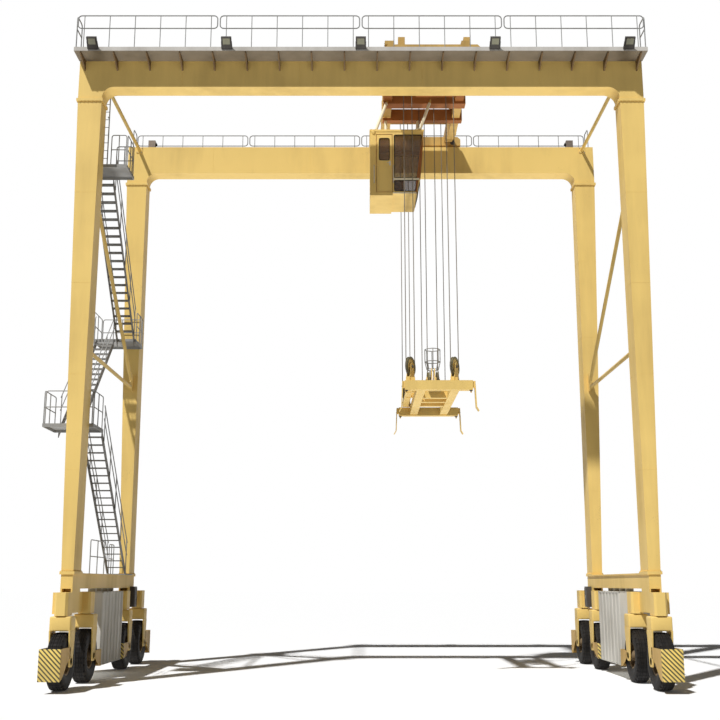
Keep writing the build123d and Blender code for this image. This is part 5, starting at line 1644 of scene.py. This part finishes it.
@dataclass
class Cabin:
    """The operator's cabin: window frames, roof edge, door, seat and consoles."""

    near_y: float = -2.1
    far_y: float = -0.1
    left_x: float = 0.35
    right_x: float = 2.38
    roof_z: float = 20.0
    floor_z: float = 17.5
    door_x: Span = (0.6, 1.17)
    door_z: Span = (17.51, 19.79)
    door_skin: float = 0.045
    door_window_x: Span = (0.694, 1.08)
    door_window_z: Span = (18.77, 19.65)
    lever_x: float = 1.095
    lever_z: float = 18.65
    front: Outline = ((2.08, 17.44), (2.22, 18.01), (2.33, 19.2), (2.38, 20.0))
    upper: Outline = ((1.26, 18.06), (2.165, 18.06), (2.265, 19.2), (2.3, 19.78), (1.26, 19.78))
    lower: Outline = ((1.26, 17.54), (2.045, 17.54), (2.14, 17.96), (1.26, 17.96))
    front_panes_y: Span = (-1.94, -0.26)
    front_panes_z: tuple[Span, Span] = ((17.56, 17.96), (18.08, 19.16))
    lamp: Point = (0.47, -2.1, 19.9)
    grab_x: Span = (0.5, 1.215)
    grab_z: Span = (17.85, 18.55)
    seat_x: float = 1.35
    seat_y: float = -1.1
    seat_half: float = 0.24
    pad_cuts: int = 9
    pad_pinch: float = 0.16

    def build(self) -> None:
        """Dress the shell and build what is in and on it."""
        dress_node(["cabin_shell"], YELLOW)
        dress_node(["cabin_glass"], GLASS)
        self._window_frames()
        self._trim()
        self._door_surround()
        self._grab_rails()
        self._door()
        self._door_lever()
        self._seat()
        self._consoles()

    def _window_frames(self) -> None:
        """A rubber seal round each side window and each front pane."""
        seal = Shape()
        for outline, y in product((self.upper, self.lower), (self.near_y, self.far_y)):
            path = rounded([(x, y, z) for x, z in outline], 0.05, 4, closed=True)
            seal.sweep(path, 0.016, ROD_SIDES, closed=True)
        near, far = self.front_panes_y
        for (x0, z0), (x1, z1), (low, high) in zip(self.front, self.front[1:], self.front_panes_z):
            tilt = (x1 - x0) / (z1 - z0)
            corners = [(x0 + tilt * (z - z0), y, z)
                       for y, z in ((near, low), (far, low), (far, high), (near, high))]
            seal.sweep(rounded(corners, 0.05, 4, closed=True), 0.014, ROD_SIDES, closed=True)
        seal.finish("cabin_window_seals", SEAL, "trolley")

    def _trim(self) -> None:
        """The roof edge with the cabin lamp, the bands over and under the windows, and the front posts."""
        trim, edge, posts = Shape(), Shape(), Shape()
        low, high = self.roof_z - 0.09, self.roof_z
        for y, out in ((self.near_y, -1), (self.far_y, 1)):
            edge.box((self.left_x, self.right_x), (y, y + out * 0.02), (low, high - 0.004), 0.005)
            trim.box((1.2, 2.19), (y, y + out * 0.016), (17.972, 18.048), 0.004)
            trim.box((1.2, 2.07), (y, y + out * 0.016), (17.445, 17.49), 0.004)
            inner = [(x - 0.055, z) for x, z in reversed(self.front)]
            posts.plate([*self.front, *inner], Axis.Y, *sorted((y, y + out * 0.014)), 0.003)
        edge.box((self.left_x - 0.02, self.left_x), (self.near_y, self.far_y), (low, high), 0.005)
        edge.lathe([(0.0, 0.001), (0.0, 0.075), (-0.03, 0.075), (-0.06, 0.05), (-0.06, 0.001)], self.lamp,
                   Axis.Y, HUB_SIDES)
        edge.finish("cabin_roof_edge", YELLOW, "trolley")
        trim.finish("cabin_trim_bands", CREAM, "trolley")
        posts.finish("cabin_front_posts", RUST_BROWN, "trolley")

    def _door_surround(self) -> None:
        """A bead round the doorway."""
        bead = Shape()
        (x0, x1), (z0, z1) = self.door_x, self.door_z
        corners = ((x0 - 0.02, z0 - 0.01), (x1 + 0.02, z0 - 0.01), (x1 + 0.02, z1 + 0.02),
                   (x0 - 0.02, z1 + 0.02))
        bead.sweep([Vector((x, self.near_y, z)) for x, z in corners], 0.009, WIRE_SIDES, closed=True)
        bead.finish("cabin_door_surround", RUST_BROWN, "trolley")

    def _grab_rails(self) -> None:
        """An upright grab rail on each side of the door."""
        grab, y = Shape(), self.near_y
        low, high = self.grab_z
        for x in self.grab_x:
            corners = [(x, y, low), (x, y - 0.075, low), (x, y - 0.075, high), (x, y, high)]
            grab.sweep(rounded(corners, 0.04, 4), 0.012, ROD_SIDES)
        grab.finish("cabin_grab_rails", BRIGHT, "trolley")

    def _door(self) -> None:
        """The door leaf round its window, with hinges, and the window's pane and seal."""
        leaf, pane, seal = Shape(), Shape(), Shape()
        y, skin = self.near_y + 0.005, self.door_skin
        hinge_y = self.near_y - 0.012
        (x0, x1), (z0, z1) = self.door_x, self.door_z
        (left, right), (low, high) = self.door_window_x, self.door_window_z
        for x in ((x0, left), (right, x1)):
            leaf.box(x, (y, y + skin), (z0, z1), 0.004)
        for z in ((z0, low), (high, z1)):
            leaf.box((left - 0.002, right + 0.002), (y + 0.001, y + skin - 0.001), z, 0.003)
        leaf.box((x0 + 0.07, x1 - 0.07), (y - 0.006, y + 0.002), (z0 + 0.12, 18.5), 0.004)
        for z in (17.75, 18.6, 19.45):
            leaf.rod((x0, hinge_y, z - 0.06), (x0, hinge_y, z + 0.06), 0.01, 14)
            leaf.box((x0, x0 + 0.055), (hinge_y, y + 0.002), (z - 0.055, z + 0.055), 0.002)
        leaf.finish("cabin_door_leaf", YELLOW, "cabin_door", ["cabin_door"])
        pane.box((left - 0.004, right + 0.004), (y + 0.018, y + 0.026), (low - 0.004, high + 0.004))
        pane.finish("cabin_door_pane", GLASS, "cabin_door")
        corners = [(x, y - 0.002, z) for x, z in ((left, low), (right, low), (right, high), (left, high))]
        seal.sweep(rounded(corners, 0.08, 5, closed=True), 0.013, ROD_SIDES, closed=True)
        seal.finish("cabin_door_seal", SEAL, "cabin_door")

    def _door_lever(self) -> None:
        """The lever handle on its plate."""
        handle, y, x, z = Shape(), self.near_y + 0.005, self.lever_x, self.lever_z
        handle.rod((x, y + 0.002, z), (x, y - 0.05, z), 0.011, 12)
        grip = rounded([(x, y - 0.048, z), (x - 0.075, y - 0.05, z), (x - 0.105, y - 0.044, z)], 0.02, 3)
        handle.sweep(grip, 0.009, ROD_SIDES)
        handle.box((x - 0.025, x + 0.025), (y - 0.006, y + 0.002), (z - 0.09, z + 0.09), 0.003)
        handle.finish("cabin_door_lever", BRIGHT, "cabin_door")

    def _seat(self) -> None:
        """The operator's chair: bellows, base plate, cushion and back."""
        x, y, floor, half = self.seat_x, self.seat_y, self.floor_z, self.seat_half
        base = Shape()
        folds = [(0.02 + index * 0.05, 0.13) for index in range(7)]
        profile = [(0.0, 0.001), (0.0, 0.13)]
        for z, radius in folds:
            profile += [(z, radius), (z + 0.025, radius - 0.03)]
        profile += [(0.37, 0.13), (0.38, 0.13), (0.38, 0.001)]
        base.lathe(profile, (x, y, floor), Axis.Z, HUB_SIDES)
        base.box((x - half, x + half), (y - half, y + half), (floor + 0.372, floor + 0.4), 0.01)
        base.finish("seat_bellows", SEAL, "trolley", ["operator_seat"])
        self._pad("seat_cushion", (x - 0.25, x + 0.26), (floor + 0.4, floor + 0.52), 0.0)
        self._pad("seat_back", (x - 0.32, x - 0.2), (floor + 0.51, floor + 1.17), -0.02)

    def _pad(self, name: str, span_x: Span, span_z: Span, lean: float) -> None:
        """A padded cushion with two sewn channels.

        Args:
            name: The piece's name.
            span_x: From its back to its front.
            span_z: From its lower to its upper side.
            lean: How far its upper edge leans to the front.
        """
        pad = Shape()
        pad.box(span_x, (self.seat_y - self.seat_half, self.seat_y + self.seat_half), span_z)
        bmesh.ops.subdivide_edges(pad.bm, edges=pad.bm.edges[:], cuts=self.pad_cuts, use_grid_fill=True)
        middle = Vector((sum(span_x) / 2, self.seat_y, sum(span_z) / 2))
        size = Vector((span_x[1] - span_x[0], 2 * self.seat_half, span_z[1] - span_z[0])) / 2
        for vert in pad.bm.verts:
            part = Vector([(vert.co[i] - middle[i]) / size[i] for i in range(3)])
            full = 1 - self.pad_pinch * sum(part[i] ** 2 * part[(i + 1) % 3] ** 2 for i in range(3))
            channel = 0.93 if abs(abs(part.y) - 0.55) < 0.06 else 1.0
            vert.co = middle + Vector([part[i] * size[i] * full for i in range(3)]) * channel
            vert.co.x += lean * part.z
        piece = pad.finish(name, SEAT_CLOTH, "trolley")
        smoothing = piece.modifiers.new("smooth", "SUBSURF")
        smoothing.levels = smoothing.render_levels = 1

    def _consoles(self) -> None:
        """A console with a stick on each side of the seat."""
        console, x, y, floor = Shape(), self.seat_x, self.seat_y, self.floor_z
        for hand in HANDS:
            console.box((x - 0.2, x + 0.33), (y + hand * 0.262, y + hand * 0.428),
                        (floor + 0.3, floor + 0.69), 0.03, 3)
            console.box((x - 0.1, x + 0.1), (y + hand * 0.2, y + hand * 0.3), (floor + 0.4, floor + 0.44),
                        0.006)
            stick = Vector((x + 0.2, y + hand * 0.345, floor + 0.685))
            console.rod(stick, stick + Vector((0.02, 0, 0.1)), 0.01, TUBE_SIDES)
        console.finish("operator_consoles", DARK, "trolley")


@dataclass
class LoadGear:
    """What hangs on the ropes: sheaves, headblock and spreader."""

    load_x: float = 2.73
    sheave_r: float = 0.36
    sheave_z: float = 10.74
    turn: float = math.radians(27)
    rope_r: float = 0.016
    low_z: float = 9.84
    half_x: float = 1.19
    lock_x: float = 1.1295
    lock_y: float = 2.9265
    basket_r: Span = (0.214, 0.289)
    basket_z: tuple[float, float, float] = (11.15, 11.45, 11.95)
    wire: float = 0.0165
    spokes: int = 6

    @property
    def rope_reach(self) -> float:
        """How far the middle of a rope is from its sheave's axle."""
        return self.sheave_r + self.rope_r + 0.001

    def sheaves(self) -> list[tuple[float, float, bool]]:
        """Give each sheave's place, and True for the corner ones, which are turned."""
        return [(1.76, -2.6, True), (3.33, -2.6, True), (1.845, 2.6, True), (3.27, 2.6, True),
                (self.load_x - 0.17, 0.0, False), (self.load_x + 0.17, 0.0, False)]

    def sheave_spots(self) -> list[Matrix]:
        """Give what moves a sheave on the X axis to each of its places."""
        return [Matrix.Translation((x, y, self.sheave_z)) @ Matrix.Rotation(-self.turn * turned, 4, "Z")
                for x, y, turned in self.sheaves()]

    def build(self) -> None:
        """Dress the CAD frames and build the sheaves, wraps and fittings."""
        dress_node(["headblock", "spreader_frame"], YELLOW)
        self._sheaves()
        self._basket()
        self._fittings()

    def _sheaves(self) -> None:
        """Grooved rims on spoked webs, and the rope that goes round under each."""
        rims, webs, wraps = Shape(), Shape(), Shape()
        r = self.sheave_r
        rim = [(-0.045, r), (-0.042, r + 0.002), (-0.018, r - 0.046), (0.0, r - 0.052), (0.018, r - 0.046),
               (0.042, r + 0.002), (0.045, r), (0.045, r - 0.07), (0.016, r - 0.085), (-0.016, r - 0.085),
               (-0.045, r - 0.07)]
        web = [(0.016, r - 0.08), (0.014, 0.12), (0.044, 0.1), (0.044, 0.04), (-0.044, 0.04), (-0.044, 0.1),
               (-0.014, 0.12), (-0.016, r - 0.08)]
        under = circle(self.rope_reach, 28)[14:] + circle(self.rope_reach, 1)
        for spot in self.sheave_spots():
            one, middle = Shape(), Shape()
            one.lathe(rim, (0, 0, 0), Axis.X, 40)
            middle.lathe(web, (0, 0, 0), Axis.X, 40)
            for inner, outer in zip(circle(0.08, self.spokes), circle(r - 0.09, self.spokes)):
                middle.rod(inner, outer, 0.022, ROD_SIDES)
            for part, whole in ((one, rims), (middle, webs)):
                part.take(spot)
                whole.join(part)
            wraps.sweep([spot @ Vector(point) for point in under], self.rope_r, ROD_SIDES)
        rims.finish("grooved_sheaves", OLIVE, "load_gear", ["rope_sheaves"])
        webs.finish("sheave_webs", YELLOW, "load_gear")
        wraps.finish("rope_wraps", ROPE, "load_gear")

    def _basket(self) -> None:
        """Grey round wires over the eight-sided cable basket."""
        shape = Shape()
        foot_r, top_r = self.basket_r
        low, middle, high = self.basket_z
        turns = [math.tau * index / 8 for index in range(8)]
        for radius, z in ((foot_r, low + 0.011), (top_r, middle + 0.011), (top_r, high - 0.011)):
            ring = [Vector((self.load_x + radius * math.cos(turn), radius * math.sin(turn), z))
                    for turn in turns]
            shape.sweep(ring, self.wire, ROD_SIDES, closed=True)
        for turn in turns:
            x, y = math.cos(turn), math.sin(turn)
            knee = (self.load_x + top_r * x, top_r * y)
            shape.rod((self.load_x + foot_r * x, foot_r * y, low), (*knee, middle), self.wire, ROD_SIDES)
            shape.rod((*knee, middle - 0.01), (*knee, high - 0.005), self.wire, ROD_SIDES)
        shape.finish("cable_basket_wires", RAIL_GREY, "load_gear")

    def _fittings(self) -> None:
        """Twistlock cones, pin caps, guide arm bolts, the cable box and the hydraulic units."""
        dark, bolts, boxes = Shape(), Shape(), Shape()
        lock = [(0.0, 0.001), (0.0, 0.06), (-0.02, 0.06), (-0.03, 0.03), (-0.045, 0.03), (-0.055, 0.027),
                (-0.088, 0.012), (-0.088, 0.001)]
        for sign_x, sign_y in SQUARE:
            dark.lathe(lock, (self.load_x + sign_x * self.lock_x, sign_y * self.lock_y, self.low_z),
                       Axis.Z, 16)
            face = self.load_x + sign_x * (self.half_x + 0.09)
            places = [(face, sign_y * 2.9 + step, 9.98) for step in (-0.06, 0.0, 0.06)]
            bolts.bolts(places, Axis.X, 0.03, sign_x * 0.02)
        boxes.box((self.load_x - 0.36, self.load_x + 0.36), (-0.42, 0.42), (10.36, 10.44), 0.015, 2)
        for along in ((-1.5, -1.05), (1.05, 1.5)):
            boxes.box((self.load_x - 0.25, self.load_x + 0.25), along, (10.13, 10.33), 0.02, 2)
        for spot in self.sheave_spots():
            for hand in HANDS:
                cap, out = (spot @ Vector((hand * reach, 0, 0)) for reach in (0.075, 0.1))
                dark.rod(cap, out, 0.055, 14)
        dark.finish("twistlocks_and_pin_caps", DARK, "load_gear")
        bolts.finish("guide_arm_bolts", BRIGHT, "load_gear")
        boxes.finish("spreader_power_boxes", DARK, "load_gear")


@dataclass
class HoistRopes:
    """Eleven falls of wire rope that stretch between the trolley and the headblock."""

    gear: LoadGear
    top_z: float = 22.56

    def build(self) -> None:
        """Build the falls with rings only at their ends, so that they stay straight."""
        gear = self.gear
        reach = gear.rope_reach
        shift = Vector((math.sin(gear.turn), math.cos(gear.turn))) * reach
        places = [(x + hand * shift.x, y + hand * shift.y, gear.sheave_z)
                  for x, y, turned in gear.sheaves() if turned for hand in HANDS]
        places += [(gear.load_x - 0.4, -0.05, 10.364), (gear.load_x - 0.17, reach, gear.sheave_z),
                   (gear.load_x + 0.17, -reach, gear.sheave_z)]
        shape = Shape()
        for x, y, z in places:
            shape.rod((x, y, z), (x, y, self.top_z), gear.rope_r, TUBE_SIDES)
        piece = shape.finish("hoist_wire_ropes", ROPE, None)
        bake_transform(piece)
        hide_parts("hoist_ropes")


@dataclass
class Studio:
    """Floor, daylight and camera."""

    camera_place: Point = (0.17, -39.1, 3.2)
    pitch: float = math.radians(12.04)
    lens: float = 52.5
    sun_from: Point = (-0.44, -0.65, 1.0)
    sun_power: float = 3.7
    sky_power: float = 0.05
    bounce_power: float = 1.4
    sun_angle: float = math.radians(1.5)
    floor_size: float = 400.0
    floor_grey: Colour = (0.65, 0.65, 0.65, 1.0)
    floor_glow: float = 0.02

    def build(self) -> None:
        """Set up the picture."""
        self._camera()
        self._light()
        self._floor()
        scene = bpy.context.scene
        scene.view_settings.view_transform = "Standard"

    def _camera(self) -> None:
        """A level camera near the ground that looks a little upwards."""
        data = bpy.data.cameras.new("camera")
        data.lens = self.lens
        data.sensor_width = 36.0
        data.clip_end = 1000.0
        camera = show("camera", data)
        camera.location = self.camera_place
        camera.rotation_euler = (math.pi / 2 + self.pitch, 0, 0)
        bpy.context.scene.camera = camera

    def _light(self) -> None:
        """A sun from the front left, light thrown back by the bright ground, and an even sky."""
        self._lamp("sun", self.sun_power, self.sun_from)
        self._lamp("ground_light", self.bounce_power, (0, 0, -1))
        world = bpy.data.worlds.new("sky")
        bpy.context.scene.world = world
        graph = Graph.of(world)
        sky = graph.add("Background", {"Color": WHITE, "Strength": self.sky_power})
        shown = graph.add("Background", {"Color": WHITE, "Strength": 1.0})
        self._show(graph, sky, shown, "OutputWorld")

    def _lamp(self, name: str, power: float, source: Point) -> None:
        """Add a distant light.

        Args:
            name: Its name.
            power: Its strength in watts per square metre.
            source: The direction it shines from.
        """
        data = bpy.data.lights.new(name, "SUN")
        data.energy = power
        data.angle = self.sun_angle
        show(name, data).rotation_euler = Vector(source).to_track_quat("Z", "Y").to_euler()

    def _show(self, graph: Graph, light: bpy.types.Node, seen: bpy.types.Node, output: str) -> None:
        """Use one shader for light, and another for rays from the camera, in gloss and through glass.

        Args:
            graph: The nodes.
            light: The shader that lights the crane.
            seen: The shader that shows as the background.
            output: The type name of the output node.
        """
        path = graph.add("LightPath").outputs
        total = graph.sum("ADD", path["Is Camera Ray"], path["Is Glossy Ray"])
        every = graph.sum("ADD", total, path["Is Transmission Ray"], clamp=True)
        mix = graph.add("MixShader", {0: every, 1: light.outputs[0], 2: seen.outputs[0]})
        graph.add(output, {"Surface": mix.outputs[0]})

    def _floor(self) -> None:
        """A wide white floor that keeps the crane's shadow."""
        shape = Shape()
        bmesh.ops.create_grid(shape.bm, x_segments=1, y_segments=1, size=self.floor_size)
        floor = show("floor", shape.mesh("floor"))
        floor.visible_shadow = False
        material = bpy.data.materials.new("white_floor")
        graph = Graph.of(material)
        matt = graph.add("BsdfDiffuse", {"Color": self.floor_grey})
        white = graph.add("BsdfDiffuse", {"Color": WHITE})
        glow = graph.add("Emission", {"Color": WHITE, "Strength": self.floor_glow})
        lit = graph.add("AddShader", {0: white.outputs[0], 1: glow.outputs[0]})
        self._show(graph, matt, lit, "OutputMaterial")
        floor.data.materials.append(material)


def main() -> None:
    """Build the crane from the ground up, then the studio."""
    logging.basicConfig(level=logging.INFO, format="%(name)s %(message)s")
    Portal().build()
    for side in Side:
        for end, place in product(End, Place):
            WheelUnit(side, end, place).build()
        PowerHouse(side).build()
    SideBracing().build()
    for end in End:
        Walkway(end).build()
    TrolleyTrack().build()
    Stairs().build()
    Trolley().build()
    Cabin().build()
    gear = LoadGear()
    gear.build()
    HoistRopes(gear).build()
    Studio().build()


if __name__ == "__main__":
    main()
